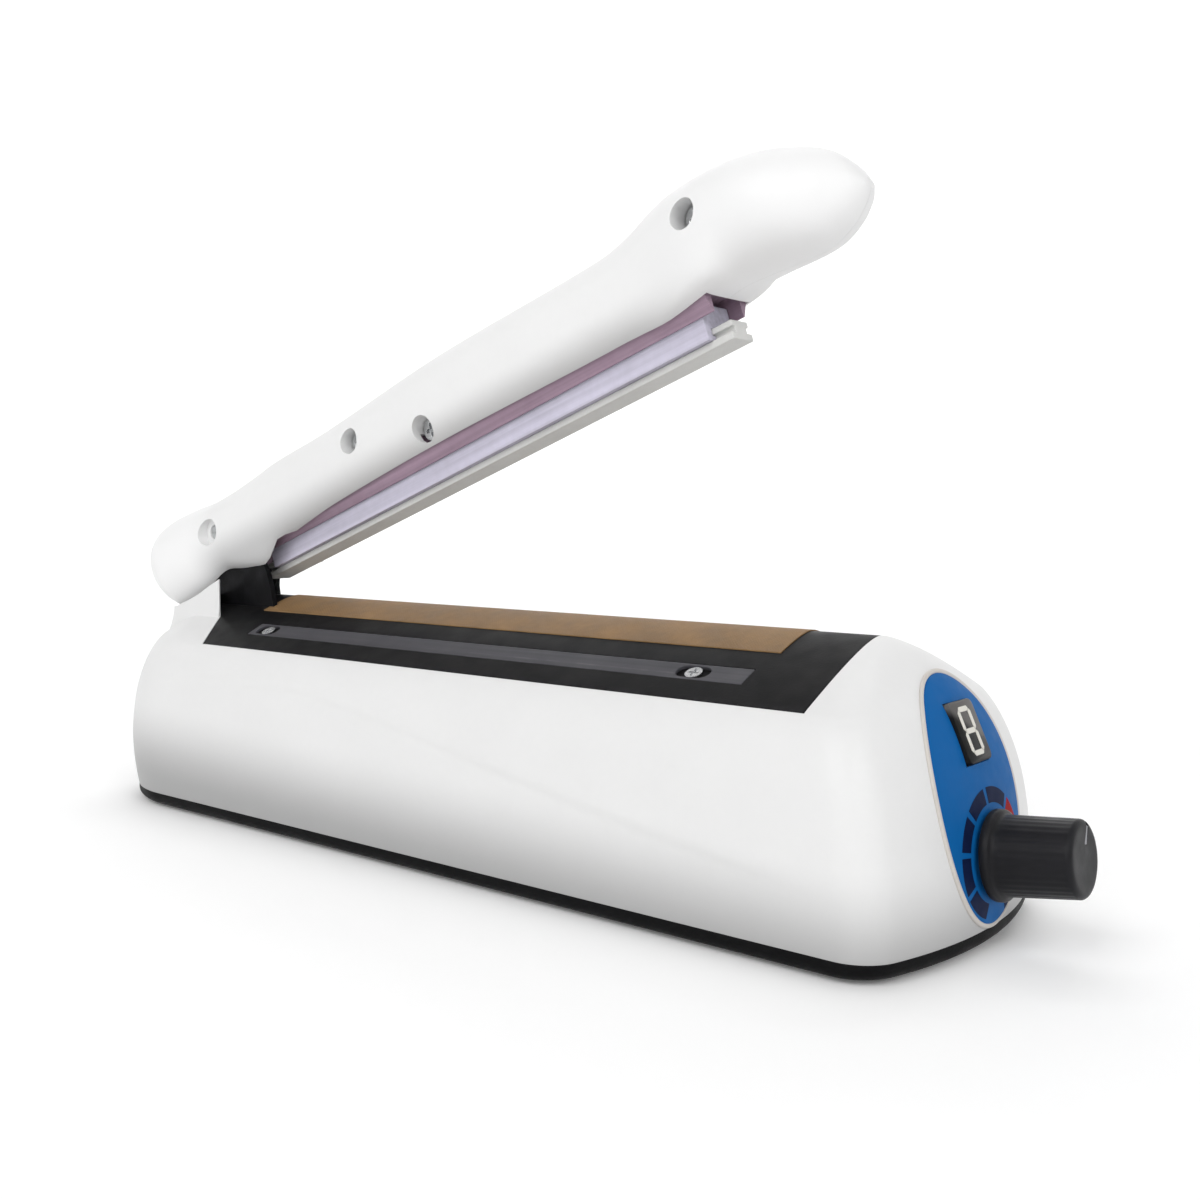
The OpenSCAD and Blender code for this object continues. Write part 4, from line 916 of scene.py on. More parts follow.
    def rounded_copy(self, node: str, width: float, finish: Optional[Finish] = None,
                     segments: int = 2) -> Piece:
        """Copies a node's mesh, rounds its edges and stands it in for the node.

        Args:
            node: Node of the frame.
            width: Width of the rounding in millimetres.
            finish: Finish; without one the node's slot gives it.
            segments: Faces across the rounding.

        Returns:
            The new piece.
        """
        obj = bpy.data.objects.new(node + "_edged", self.nodes[node].data.copy())
        bpy.context.scene.collection.objects.link(obj)
        work = bmesh.new()
        work.from_mesh(obj.data)
        bmesh.ops.remove_doubles(work, verts=work.verts, dist=1e-6)
        bmesh.ops.dissolve_limit(work, angle_limit=math.radians(0.4), verts=work.verts, edges=work.edges)
        work.to_mesh(obj.data)
        work.free()
        if obj.data.has_custom_normals:
            with bpy.context.temp_override(object=obj, active_object=obj):
                bpy.ops.mesh.customdata_custom_splitnormals_clear()
        self.soften(obj, width, segments)
        self.even_shade(obj)
        return self.place(obj, Body(self.body_of[node]), finish or BY_SLOT[self.slot_of[node]], node)


# The sealer

@dataclass(frozen=True)
class BodyForm:
    """Outer form of the base: a section swept round a plan outline."""

    half_width: float = 42.8
    ridge: float = 68.6
    plate_half: float = 34.2
    plate_edge: float = 54.5
    band: float = 5.0
    swell: float = 1.6
    nose: float = 146.2
    rear: float = -158.5
    nose_radius: float = 112.0
    nose_corner: float = 11.0
    rear_corner: float = 41.0
    crown: float = 7.1
    side_foot: float = 16.0
    side_head: float = 9.0
    end_power: float = 2.2
    rear_bulge: float = 7.2
    curve_steps: int = 120
    width_steps: int = 200
    crease_depth: float = 0.75
    crease_fade: float = 9.0
    crease_lip: float = 1.6
    crease_start: Point2 = (-131, -100)
    crease_end: Point2 = (104, 133)
    crease: tuple[Point2, ...] = (
        (-129, 38), (-114, 42.7), (-94, 45.6), (-70, 46.3), (-46, 45.4), (-3, 39.8), (34, 33.6), (67, 28.1),
        (96, 24), (122, 20.1), (131, 18.7))

    def section(self, t: float) -> Point2:
        """Reads the section.

        Args:
            t: Place on the section, from 0 to 1 on the side and from 1 to 2 on the roof.

        Returns:
            Half width and height.
        """
        edge = (self.plate_half, self.plate_edge)
        if t <= 1:
            wide = self.half_width + self.swell
            return bezier([(self.half_width, self.band), (wide, self.band + self.side_foot),
                           (wide, self.plate_edge - self.side_head), edge], t)
        return bezier([edge, (self.crown, self.ridge), (0, self.ridge)], t - 1)

    def outward(self, t: float) -> Point2:
        """Reads the direction square to the section.

        Args:
            t: Place on the section.

        Returns:
            The outward direction in width and height.
        """
        a, b = self.section(max(t - 0.01, 0)), self.section(min(t + 0.01, 2))
        size = math.hypot(b[0] - a[0], b[1] - a[1])
        return (b[1] - a[1]) / size, -(b[0] - a[0]) / size

    @cached_property
    def nose_table(self) -> list[Point2]:
        """Nose profile as height and place."""
        curve = [(self.nose, 0), (self.nose + 4.3, 25), (self.nose - 4.2, 52),
                 (self.nose - 12.2, self.ridge - 2.5), (self.nose - 29, self.ridge + 0.5)]
        return [bezier(curve, i / self.curve_steps)[::-1] for i in range(self.curve_steps + 1)]

    @cached_property
    def rear_table(self) -> list[Point2]:
        """Rear profile as height and place."""
        curve = [(self.rear, 0), (self.rear - 7.5, 18), (self.rear - 5.5, 42), (self.rear + 2, 55),
                 (self.rear + 9, self.ridge - 7), (self.rear + 18, self.ridge - 3),
                 (self.rear + 30, self.ridge + 0.5)]
        return [bezier(curve, i / self.curve_steps)[::-1] for i in range(self.curve_steps + 1)]

    @cached_property
    def width_table(self) -> list[Point2]:
        """Section as height and half width."""
        return [self.section(2 * i / self.width_steps)[::-1] for i in range(self.width_steps)]

    def end_half(self, tip: float, big: float, small: float, w: float, way: int, count: int) -> list[Point2]:
        """Half outline of one end, from its tip to the straight side.

        Args:
            tip: Place of the end's tip.
            big: Radius of the broad arc.
            small: Radius of the corner.
            w: Half width.
            way: 1 for the nose, -1 for the rear.
            count: Steps in each arc.

        Returns:
            The points, with Y from 0 to w.
        """
        r = min(small, w * 0.95)
        cap = max(big, w * 1.001)
        d = math.sqrt(max((cap - r) ** 2 - (w - r) ** 2, 0.0))
        turn = math.atan2(w - r, d)
        points = [(tip + way * (cap * math.cos(turn * i / count) - cap), cap * math.sin(turn * i / count))
                  for i in range(count + 1)]
        for i in range(1, count + 1):
            a = turn + (math.pi / 2 - turn) * i / count
            points.append((tip + way * (d - cap + r * math.cos(a)), w - r + r * math.sin(a)))
        return points

    def nose_arc(self, w: float) -> float:
        """Radius of the nose's broad arc at a half width."""
        k = min(w / self.half_width, 1.0)
        return w + (self.nose_radius - self.half_width) * k ** self.end_power

    def outline(self, w: float, front: float, rear: float, count: int, straight: int) -> list[Point2]:
        """Plan outline at one level.

        Args:
            w: Half width.
            front: Place of the nose tip.
            rear: Place of the rear tip.
            count: Steps in each arc.
            straight: Steps along each straight side.

        Returns:
            The closed outline.
        """
        k = min(w / self.half_width, 1.0)
        a = self.end_half(front, self.nose_arc(w), self.nose_corner * math.sqrt(k), w, 1, count)
        b = self.end_half(rear, w + self.rear_bulge * k ** self.end_power, self.rear_corner, w, -1, count)
        x0, x1 = a[-1][0], b[-1][0]
        side = [(x0 + (x1 - x0) * i / straight, w) for i in range(1, straight)]
        half = a + side + b[::-1]
        return half + [(x, -y) for x, y in half[-2:0:-1]]

    def crease_push(self, x: float, z: float) -> float:
        """Reads how far the side stands out along its long crease.

        Args:
            x: Place along the body.
            z: Height.

        Returns:
            The outward push in millimetres.
        """
        fade = ease(*self.crease_start, x) * (1 - ease(*self.crease_end, x))
        above = z - read_curve(self.crease, min(max(x, self.crease[0][0]), self.crease[-1][0]))
        lift = math.exp(-above / self.crease_fade) if above >= 0 else 1 - ease(0, self.crease_lip, -above)
        return self.crease_depth * fade * lift

    def ring(self, t: float, inset: float, count: int, straight: int, height: Optional[float] = None,
             creased: bool = False) -> Ring:
        """One level of the form.

        Args:
            t: Place on the section.
            inset: Depth below the outer face.
            count: Steps in each arc.
            straight: Steps along each side.
            height: Height that replaces the level's own.
            creased: Whether the crease of the side is raised.

        Returns:
            The closed ring.
        """
        s, o = self.section(t), self.outward(t)
        w = max(s[0] - inset * o[0], 0.5)
        z = s[1] - inset * o[1] if height is None else height
        flat = self.outline(w, read_line(self.nose_table, s[1]) - inset,
                            read_line(self.rear_table, s[1]) + inset, count, straight)
        ring: Ring = []
        for x, y in flat:
            push = self.crease_push(x, z) * ease(0.75 * w, w, abs(y)) if creased else 0.0
            ring.append((x, y + math.copysign(push, y), z))
        return ring

    def nose_place(self, y: float, z: float) -> float:
        """Place of the nose surface along X, at a width and a height."""
        r = self.nose_arc(read_line(self.width_table, z))
        return read_line(self.nose_table, z) - r + math.sqrt(max(r * r - y * y, 0.0))


@dataclass
class BaseBody:
    """White body shell on its black base pan, with feet and the cord gland."""

    bench: Bench
    form: BodyForm
    wall: float = 2.2
    pan_low: float = 0.8
    pan_floor: float = 2.4
    pan_round: float = 3.0
    foot_at: tuple[float, float, float] = (-113.5, 104.2, 28.8)
    foot_hole: float = 7.0
    post_at: tuple[float, float, float] = (-131.5, 121.2, 23.0)
    gland_height: float = 16.0
    gland_hole: float = 7.15
    gland_depth: float = 12.0
    post: float = 4.5
    post_top: float = 20.0
    head_hole: float = 3.15
    plate_gap: float = 0.12
    arc_steps: int = 26
    side_steps: int = 64
    pan_side_steps: int = 40
    collar: tuple[float, float, float] = (-138.0, 19.0, -117.0)
    collar_far: float = -136.5
    collar_foot: float = 48.5
    collar_step: float = 15.5
    collar_skin: float = 0.7
    collar_levels: int = 33
    flare: tuple[Point2, ...] = (
        (0, 6.3), (16, 6.3), (30, 4.2), (45, 1.8), (60, 0.2), (75, -0.8), (90, -1.3))
    flare_top: float = 66.0
    flare_height: float = 16.0
    pivot: Point2 = PIVOT
    tongue: Point2 = (-147.1, 11.6)
    rim: tuple[Point2, ...] = (
        (-32, -26.8), (-16.5, -26.2), (-7.8, -23.5), (-1.6, -21.2), (4.4, -18.3), (12, -15))
    step: tuple[Point2, ...] = (
        (-32, -27.4), (-16.5, -26.8), (-7.8, -24.1), (-1.6, -21.8), (4.4, -18.9), (12, -18.9))

    def build(self) -> None:
        """Builds and dresses all pieces of the base."""
        self.shell()
        self.pan()
        self.neck()
        self.bench.rounded_copy("rubber_feet", 0.9, segments=3)
        self.bench.rounded_copy("cord_gland", 0.5, segments=3)
        self.bench.rounded_copy("base_screws", 0.2)

    def plate_cut(self) -> Piece:
        """Makes the cutter for the top plate's opening and returns it."""
        grow = self.plate_gap
        half = [(x + math.copysign(grow, x), y + grow) for x, y in PLATE_PLAN]
        return self.bench.prism("plate_cut", half + [(x, -y) for x, y in half[::-1]], "Z", 47, CUT_TOP)

    def collar_plan(self, grow: float, ahead: float, flared: float = 0.0) -> list[Point2]:
        """Plan of the hinge collar with its shorter far wall.

        Args:
            grow: Growth to all sides.
            ahead: Growth of the front ends.
            flared: Share of the flare that meets the shell.

        Returns:
            The closed outline.
        """
        x0, r, x1 = self.collar
        arc = []
        steps = 48
        for i in range(steps + 1):
            turn = 180 * i / steps
            wide = r + grow + flared * read_curve(self.flare, 90 - abs(90 - turn))
            arc.append((x0 - wide * math.sin(math.radians(turn)), wide * math.cos(math.radians(turn))))
        edge = arc[0][1]
        return ([(self.collar_far + ahead, 0), (self.collar_far + ahead, edge)] + arc
                + [(x1 + ahead, -edge), (x1 + ahead, 0)])

    def collar_cut(self) -> Piece:
        """Makes the cutter for the hinge collar's seat and returns it."""
        return self.bench.prism("collar_cut", self.collar_plan(0, 0.1), "Z", self.collar_foot, CUT_TOP)

    def rim_prism(self, line: Sequence[Point2], low: float, high: float) -> Piece:
        """Makes the prism below a rim line.

        Args:
            line: Rim line from the pivot, as place and height.
            low: Start across the body.
            high: End across the body.

        Returns:
            The prism.
        """
        outline = [(self.pivot[0] + x, self.pivot[1] + z) for x, z in line]
        outline += [(outline[-1][0], 30), (outline[0][0], 30)]
        return self.bench.prism("rim_prism", outline, "Y", low, high)

    def neck(self) -> None:
        """Builds the hinge collar, whose foot flares onto the shell."""
        rings = []
        for i in range(self.collar_levels):
            z = self.collar_foot + i
            flared = max(0.0, (self.flare_top - z) / self.flare_height) ** 2
            rings.append([(x, y, z) for x, y in self.collar_plan(self.collar_skin, 0, flared)])
        obj = self.bench.skin("hinge_collar_skin", rings)
        room = self.rim_prism(self.step, -self.collar_step - 0.02, self.collar_step + 0.02)
        sides = [self.rim_prism(self.rim, *sorted((s * self.collar_step, s * REACH))) for s in (-1, 1)]
        self.bench.carve(room, sides, "UNION")
        self.bench.carve(obj, [room], "INTERSECT")
        x, w = self.tongue
        self.bench.carve(obj, [self.bench.block("tongue_cut", (x, -w, 30), (-60, w, 120)), self.plate_cut()])
        self.bench.soften(obj, 0.7, 3, 50)
        mass = self.bench.skin("body_mass", self.outer_rings())
        self.bench.carve(mass, [self.collar_cut()])
        self.bench.carve(obj, [mass])
        self.bench.shade(obj, 40)
        self.bench.place(obj, Body.BASE, WHITE_SHELL_PAINTED_SHADE, "hinge_collar")

    def outer_rings(self) -> list[Ring]:
        """Rings of the body's outer face, from the ridge down."""
        steps = 84
        return [self.form.ring(1.985 * (1 - i / steps), 0, self.arc_steps, self.side_steps, creased=True)
                for i in range(steps + 1)]

    def shell(self) -> None:
        """Builds the white shell."""
        arcs, sides, steps = self.arc_steps, self.side_steps, 36
        foot = self.form.ring(0, self.wall, arcs, sides, self.form.band)
        inner = [self.form.ring(1.9 * i / steps, self.wall, arcs, sides) for i in range(1, steps + 1)]
        obj = self.bench.skin("body_shell_skin", self.outer_rings() + [foot] + inner)
        rear = tilted((read_line(self.form.rear_table, self.gland_height), 0, self.gland_height), 90)
        panel = ControlPanel.outline(0.08)
        self.bench.carve(obj, [
            self.plate_cut(),
            self.collar_cut(),
            self.bench.prism("panel_cut", panel, "X", 122, 160),
            self.bench.rod("gland_cut", self.gland_hole, -self.gland_depth, self.gland_depth, rear),
        ])
        self.bench.shade(obj, 33)
        self.bench.place(obj, Body.BASE, WHITE_SHELL_PAINTED_SHADE, "body_shell")

    def pan(self) -> None:
        """Builds the black base pan with its posts and recesses."""
        floor, band, chamfer, steps = self.pan_low + self.pan_floor, self.form.band, 0.25, 12
        levels = []
        for i in range(steps + 1):
            a = math.pi / 2 * i / steps
            levels.append((self.pan_round * (1 - math.sin(a)),
                           self.pan_low + self.pan_round * (1 - math.cos(a))))
        levels += [(0, band - chamfer), (chamfer, band), (self.wall, band), (self.wall, floor)]
        obj = self.bench.skin("base_pan_skin", [
            self.form.ring(0, inset, self.arc_steps, self.pan_side_steps, z) for inset, z in levels])
        tools = []
        posts = []
        for s in (-1, 1):
            for x in self.foot_at[:2]:
                at = tilted((x, s * self.foot_at[2], 0), 0)
                tools.append(self.bench.rod("foot_cut", self.foot_hole, -2, 2.0, at))
            for x in self.post_at[:2]:
                at = tilted((x, s * self.post_at[2], 0), 0)
                posts.append(self.bench.rod("post", self.post, floor - 0.4, self.post_top, at))
                tools.append(self.bench.rod("head_cut", self.head_hole, -2, floor + 4, at))
        self.bench.carve(obj, posts, "UNION")
        self.bench.carve(obj, tools)
        self.bench.shade(obj, 33)
        self.bench.place(obj, Body.BASE, BLACK_BASE, "base_pan")


@dataclass
class TopPlate:
    """Black plate with the hinge tower, the heated strip and its clamps."""

    bench: Bench
    form: BodyForm
    thickness: float = 2.6
    front: float = 118.3
    rear: float = -147.0
    pivot: Point2 = PIVOT
    boss: float = 6.5
    pin_hole: float = 2.53
    near_front: float = 28.5
    far_front: float = 2.0
    tower_half: float = 11.5
    tower_wall: float = 1.8
    spring_room: float = 14.0
    tape_half: float = 14.0
    tape_end: float = 100.0
    tape_thick: float = 0.3
    slit: tuple[Point2, Point2] = ((-110, -97.9), (-11.65, -9.55))
    channel_half: float = 3.15
    channel_deep: float = 1.4
    clamp_span: Point2 = (-91.0, 97.5)
    clamp_half: float = 3.3
    clamp_gap: float = 0.15
    clamp_place: float = 1.2

    def build(self) -> None:
        """Builds and dresses all pieces on the ridge."""
        self.plate()
        self.tape()
        for node in ("near_clamp_strip", "far_clamp_strip"):
            self.bench.rounded_copy(node, 0.3, segments=3)
        self.bench.rounded_copy("clamp_screws", 0.15)
        self.bench.rounded_copy("hinge_pin", 0.4)

    def roof(self, drop: float, count: int) -> list[Point2]:
        """Roof section from one edge to the other.

        Args:
            drop: Depth below the roof.
            count: Steps on each side.

        Returns:
            Points as width and height.
        """
        half = []
        for i in range(count + 1):
            s, o = self.form.section(1 + i / count), self.form.outward(1 + i / count)
            half.append((s[0] - drop * o[0], s[1] - drop * o[1]))
        return half + [(-y, z) for y, z in half[-2::-1]]

    def on_slope(self, side: int) -> Matrix:
        """Finds the frame of a clamp strip on the plate's slope.

        Args:
            side: -1 for the near side, 1 for the far side.

        Returns:
            The frame's matrix.
        """
        at, out = self.form.section(self.clamp_place), self.form.outward(self.clamp_place)
        return (Matrix.Translation((0, side * at[0], at[1]))
                @ Matrix.Rotation(-side * math.atan2(out[0], out[1]), 4, "X"))

    def near_outline(self) -> list[Point2]:
        """Side profile of the tower's long near wall with a round boss."""
        x, z = self.pivot
        n = self.near_front
        front = [(x + n * 0.67, z - 6), (x + n * 0.82, z - 9.6), (x + n * 0.9, z - 12.6),
                 (x + n * 0.947, z - 16), (x + n * 0.986, z - 19.4), (x + n + 1.5, z - 29)]
        return self.wall_back() + front

    def far_outline(self) -> list[Point2]:
        """Side profile of the tower's short far wall with a round boss."""
        x, z = self.pivot
        front = [(x + self.far_front, z - 19.4), (x + self.far_front + 1.5, z - 29)]
        return self.wall_back() + self.boss_arc(range(0, -61, -6)) + front

    def wall_back(self) -> list[Point2]:
        """Rear edge of a tower wall and the upper half of its boss."""
        ridge = self.form.ridge
        return [(self.rear, ridge - 8), (self.rear, ridge - 2)] + self.boss_arc(range(168, 3, -6))

    def boss_arc(self, angles: Sequence[int]) -> list[Point2]:
        """Points round the boss at some angles in degrees."""
        x, z = self.pivot
        return [(x + self.boss * math.cos(a), z + self.boss * math.sin(a)) for a in map(math.radians, angles)]

    def plate(self) -> None:
        """Builds the plate and the tower on it."""
        loop = self.roof(0, 30) + self.roof(self.thickness, 30)[::-1]
        span = [self.rear + (self.front - self.rear) * i / 40 for i in range(41)]
        obj = self.bench.skin("top_plate_skin", [[(x, y, z) for y, z in loop] for x in span])
        outline = list(PLATE_PLAN) + [(x, -y) for x, y in PLATE_PLAN[::-1]]
        self.bench.carve(obj, [self.bench.prism("plate_plan", outline, "Z", 40, CUT_TOP)], "INTERSECT")
        end, half, floor = self.tape_end, self.channel_half, self.form.ridge - self.channel_deep
        tools = [self.bench.block("channel", (-end, -half, floor), (end, half, CUT_TOP))]
        half, gap = self.clamp_half + self.clamp_gap, self.clamp_gap
        for side in (-1, 1):
            tools.append(self.bench.block("clamp_seat", (self.clamp_span[0] - gap, -half, -1.0),
                                          (self.clamp_span[1] + gap, half, 3), self.on_slope(side)))
        self.bench.carve(obj, tools)
        self.bench.shade(obj, 33)
        self.bench.place(obj, Body.BASE, BLACK_PLATE, "top_plate")
        low, high = self.tower_half - self.tower_wall, self.tower_half
        axis = Matrix.Translation((self.pivot[0], 0, self.pivot[1]))
        for side, label, outline in ((-1, "near", self.near_outline()), (1, "far", self.far_outline())):
            wall = self.bench.prism("hinge_tower_" + label, outline, "Y", *sorted((side * low, side * high)))
            at = axis @ Matrix.Rotation(-side * math.pi / 2, 4, "X")
            boss = self.bench.rod("boss", self.boss, self.spring_room / 2, low + 0.2, at)
            self.bench.carve(wall, [boss], "UNION")
            self.bench.carve(wall, [self.bench.rod("pin_hole", self.pin_hole, -1, REACH, at)])
            self.bench.soften(wall, 0.55, 4)
            self.bench.even_shade(wall)
            self.bench.place(wall, Body.BASE, BLACK_PLATE)

    def tape(self) -> None:
        """Builds the release tape as a thin sheet over the ridge."""
        across, along = 40, 60
        roof = sorted(self.roof(0, 60))
        top, low = [], []
        for i in range(across + 1):
            y = self.tape_half * (1 - 2 * i / across)
            z = read_line(roof, y)
            top.append((y, z + self.tape_thick))
            low.append((y, z + 0.005))
        loop = top + low[::-1]
        span = [-self.tape_end + 2 * self.tape_end * i / along for i in range(along + 1)]
        obj = self.bench.skin("release_tape_sheet", [[(x, y, z) for y, z in loop] for x in span])
        (x0, x1), (y0, y1) = self.slit
        self.bench.carve(obj, [self.bench.block("slit", (x0, y0, 50), (x1, y1, 90))])
        self.bench.shade(obj, 40)
        self.bench.place(obj, Body.BASE, TAPE, "release_tape")


@dataclass
class PressArm:
    """Raised arm of two white half shells, with the press bar in it."""

    bench: Bench
    pivot: Point2 = PIVOT
    raised: float = RAISED
    tail: float = 41.6
    length: float = 255.4
    wall: float = 2.2
    seam: float = 0.05
    slot_half: float = 9.6
    slot_top: float = -4.2
    slot_start: float = -36.6
    slot_end: float = 211.4
    hinge_half: float = 11.9
    hinge_end: float = 32.0
    hinge_top: float = 7.5
    slot_low: float = -60.0
    well: float = 4.0
    well_floor: float = 6.6
    well_at: tuple[Point2, ...] = ((76.4, 4.1), (108.0, -4.2), (214.0, 9.9))
    hinge_well: float = 4.6
    hinge_well_floor: float = 13.7
    pin_hole: float = 2.55
    cheek: float = 7.5
    screw_holes: dict[int, float] = field(default_factory=lambda: {-1: 1.65, 1: 1.25})

    @cached_property
    def top(self) -> list[Point2]:
        """Upper line of the arm from the hinge axis."""
        t, n = self.tail, self.length
        return [(-t, 4.5), (1.3 - t, 8.3), (5.5 - t, 11.1), (14 - t, 14.1), (-14, 14.2), (0, 13.2),
                (30, 15.1), (60, 15.1), (n - 140, 17.3), (n - 75, 16.4), (n - 65, 17.8), (n - 52, 21.3),
                (n - 38, 21.4), (n - 26, 19.8), (n - 16, 16.6), (n - 6.4, 11), (n - 1.5, 4.4), (n, 0.5)]

    @cached_property
    def bottom(self) -> list[Point2]:
        """Lower line of the arm from the hinge axis."""
        t, n = self.tail, self.length
        return [(-t, 1.5), (1 - t, -3.5), (5 - t, -11.5), (12 - t, -20), (21 - t, -20), (-10, -18),
                (0, -15.8), (8, -17.2), (15, -18.7), (22, -20.2), (27, -17.4), (32, -14.6), (45, -13.9),
                (95, -13.2), (n - 80, -13.3), (n - 60, -12.6), (n - 52, -10.8), (n - 44, -9.2),
                (n - 38, -8.6), (n - 31, -9.2), (n - 14, -10.4), (n - 6.4, -8.1), (n - 1.5, -4.2), (n, -2)]

    @cached_property
    def half(self) -> list[Point2]:
        """Half width of the arm."""
        t, n = self.tail, self.length
        return [(-t, 2), (1.2 - t, 8.4), (5 - t, 16), (13 - t, 22), (-18, 21), (-8, 18.2), (0, 17),
                (15, 14.6), (30, 13.9), (48, 13.4), (n - 140, 13.2), (n - 78, 13.2), (n - 58, 13.2),
                (n - 40, 15.7), (n - 23, 15.7), (n - 10, 10.8), (n - 2.4, 6.1), (n, 2.5)]

    @cached_property
    def square_above(self) -> list[Point2]:
        """Squareness of the section's upper half, where 2 is an ellipse."""
        return [(-self.tail, 2), (-20, 2.2), (0, 2.2), (30, 2.4), (60, 2.4), (self.length, 2.2)]

    @cached_property
    def square_below(self) -> list[Point2]:
        """Squareness of the section's lower half."""
        n = self.length
        return [(-self.tail, 2.2), (-25, 2.3), (-10, 2.4), (2, 3), (14, 4.7), (24, 4.6), (34, 3.4),
                (60, 2.4), (n - 75, 2.6), (n - 60, 3.4), (n - 50, 5), (n - 42, 5), (n - 34, 2.4), (n, 2.2)]

    @cached_property
    def place(self) -> Matrix:
        """Frame of the raised arm."""
        return tilted((self.pivot[0], 0, self.pivot[1]), -self.raised)

    def build(self) -> None:
        """Builds and dresses all pieces of the arm."""
        self.half_shell("near", -1)
        self.half_shell("far", 1)
        self.bench.rounded_copy("arm_screws", 0.2)
        self.bench.rounded_copy("press_rail", 0.25)
        self.bench.rounded_copy("rubber_holder", 0.25)
        self.bench.rounded_copy("silicone_strip", 0.35, segments=3)

    def arc(self, u: float, inset: float, low: float, high: float, count: int) -> Ring:
        """Part of the arm's section at one distance.

        Args:
            u: Distance from the hinge axis.
            inset: Depth below the outer face.
            low: First angle in degrees, from +Y towards up.
            high: Last angle in degrees.
            count: Steps of the arc.

        Returns:
            The points in the arm's frame.
        """
        up, down = read_curve(self.top, u) - inset, read_curve(self.bottom, u) + inset
        wide = read_curve(self.half, u) - inset
        above, below = 2 / read_curve(self.square_above, u), 2 / read_curve(self.square_below, u)
        points: Ring = []
        for i in range(count + 1):
            a = math.radians(low + (high - low) * i / count)
            c, s = math.cos(a), math.sin(a)
            power = above if s > 0 else below
            points.append((u, wide * math.copysign(abs(c) ** power, c),
                           (up + down) / 2 + (up - down) / 2 * math.copysign(abs(s) ** power, s)))
        return points

    def stations(self, ends: float, coarse: int) -> list[float]:
        """Distances along the arm, closer together at its ends.

        Args:
            ends: Distance kept from the tail and the tip.
            coarse: Divides the number of stations.

        Returns:
            The distances in rising order.
        """
        low, high = -self.tail + ends, self.length - ends
        first, last = 12, self.length - 80
        a, b, c = 40 // coarse, 54 // coarse, 52 // coarse
        tail = [low + (first - low) * (1 - math.cos(math.pi / 2 * i / a)) for i in range(a + 1)]
        middle = [first + (last - first) * i / b for i in range(1, b + 1)]
        grip = [last + (high - last) * math.sin(math.pi / 2 * i / c) for i in range(1, c + 1)]
        return tail + middle + grip

    def across(self, u: float, w: float) -> Matrix:
        """Frame at a point of the arm with Z along the width."""
        return self.place @ Matrix.Translation((u, 0, w)) @ Matrix.Rotation(-math.pi / 2, 4, "X")

    def hollow(self) -> Piece:
        """Makes the cutter for the arm's inside, which leaves the screw bosses, and returns it."""
        rings = [self.arc(u, self.wall, 0, 351, 39) for u in self.stations(5.5, 2)]
        room = self.bench.skin("arm_room", rings, self.place)
        keep = [self.bench.rod("boss", self.well + 1, -REACH, REACH, self.across(u, w))
                for u, w in self.well_at]
        for side in (-1, 1):
            span = sorted((side * self.hinge_half, side * REACH))
            keep.append(self.bench.rod("cheek", self.cheek, *span, self.across(0, 0)))
        self.bench.carve(room, keep)
        return room

    def hinge_plan(self) -> list[Point2]:
        """Plan of the slot for the hinge tower, which narrows to the rail's slot."""
        near = [(self.slot_start, -self.hinge_half), (self.hinge_end - 2, -self.hinge_half),
                (self.hinge_end + 6, -self.slot_half)]
        return near + [(u, -y) for u, y in near[::-1]]

    def half_shell(self, label: str, side: int) -> None:
        """Builds one half shell.

        Args:
            label: Side's name.
            side: -1 for the near side, 1 for the far side.
        """
        rings = []
        for u in self.stations(0, 1):
            ring = self.arc(u, 0, 90, 90 - side * 180, 40)
            rings.append([(x, side * max(side * y, self.seam), z) for x, y, z in ring])
        obj = self.bench.skin("arm_half_" + label, rings, self.place)
        axis = self.across(0, 0)
        well = sorted((side * self.hinge_well_floor, side * REACH))
        tools = [
            self.hollow(),
            self.bench.block("rail_slot", (self.slot_start, -self.slot_half, self.slot_low),
                             (self.slot_end, self.slot_half, self.slot_top), self.place),
            self.bench.prism("hinge_slot", self.hinge_plan(), "Z", self.slot_low, self.hinge_top, self.place),
            self.bench.rod("hinge_well", self.hinge_well, *well, axis),
            self.bench.rod("pin_hole", self.pin_hole, -REACH, REACH, axis),
        ]
        for u, w in self.well_at:
            if side < 0:
                tools.append(self.bench.rod("well", self.well, -REACH, -self.well_floor, self.across(u, w)))
            tools.append(self.bench.rod("screw_hole", self.screw_holes[side], -9, 9, self.across(u, w)))
        self.bench.carve(obj, tools)
        self.bench.shade(obj, 35)
        self.bench.place(obj, Body.ARM, ARM_WHITE_PAINTED_LIGHT, "arm_shell_" + label)


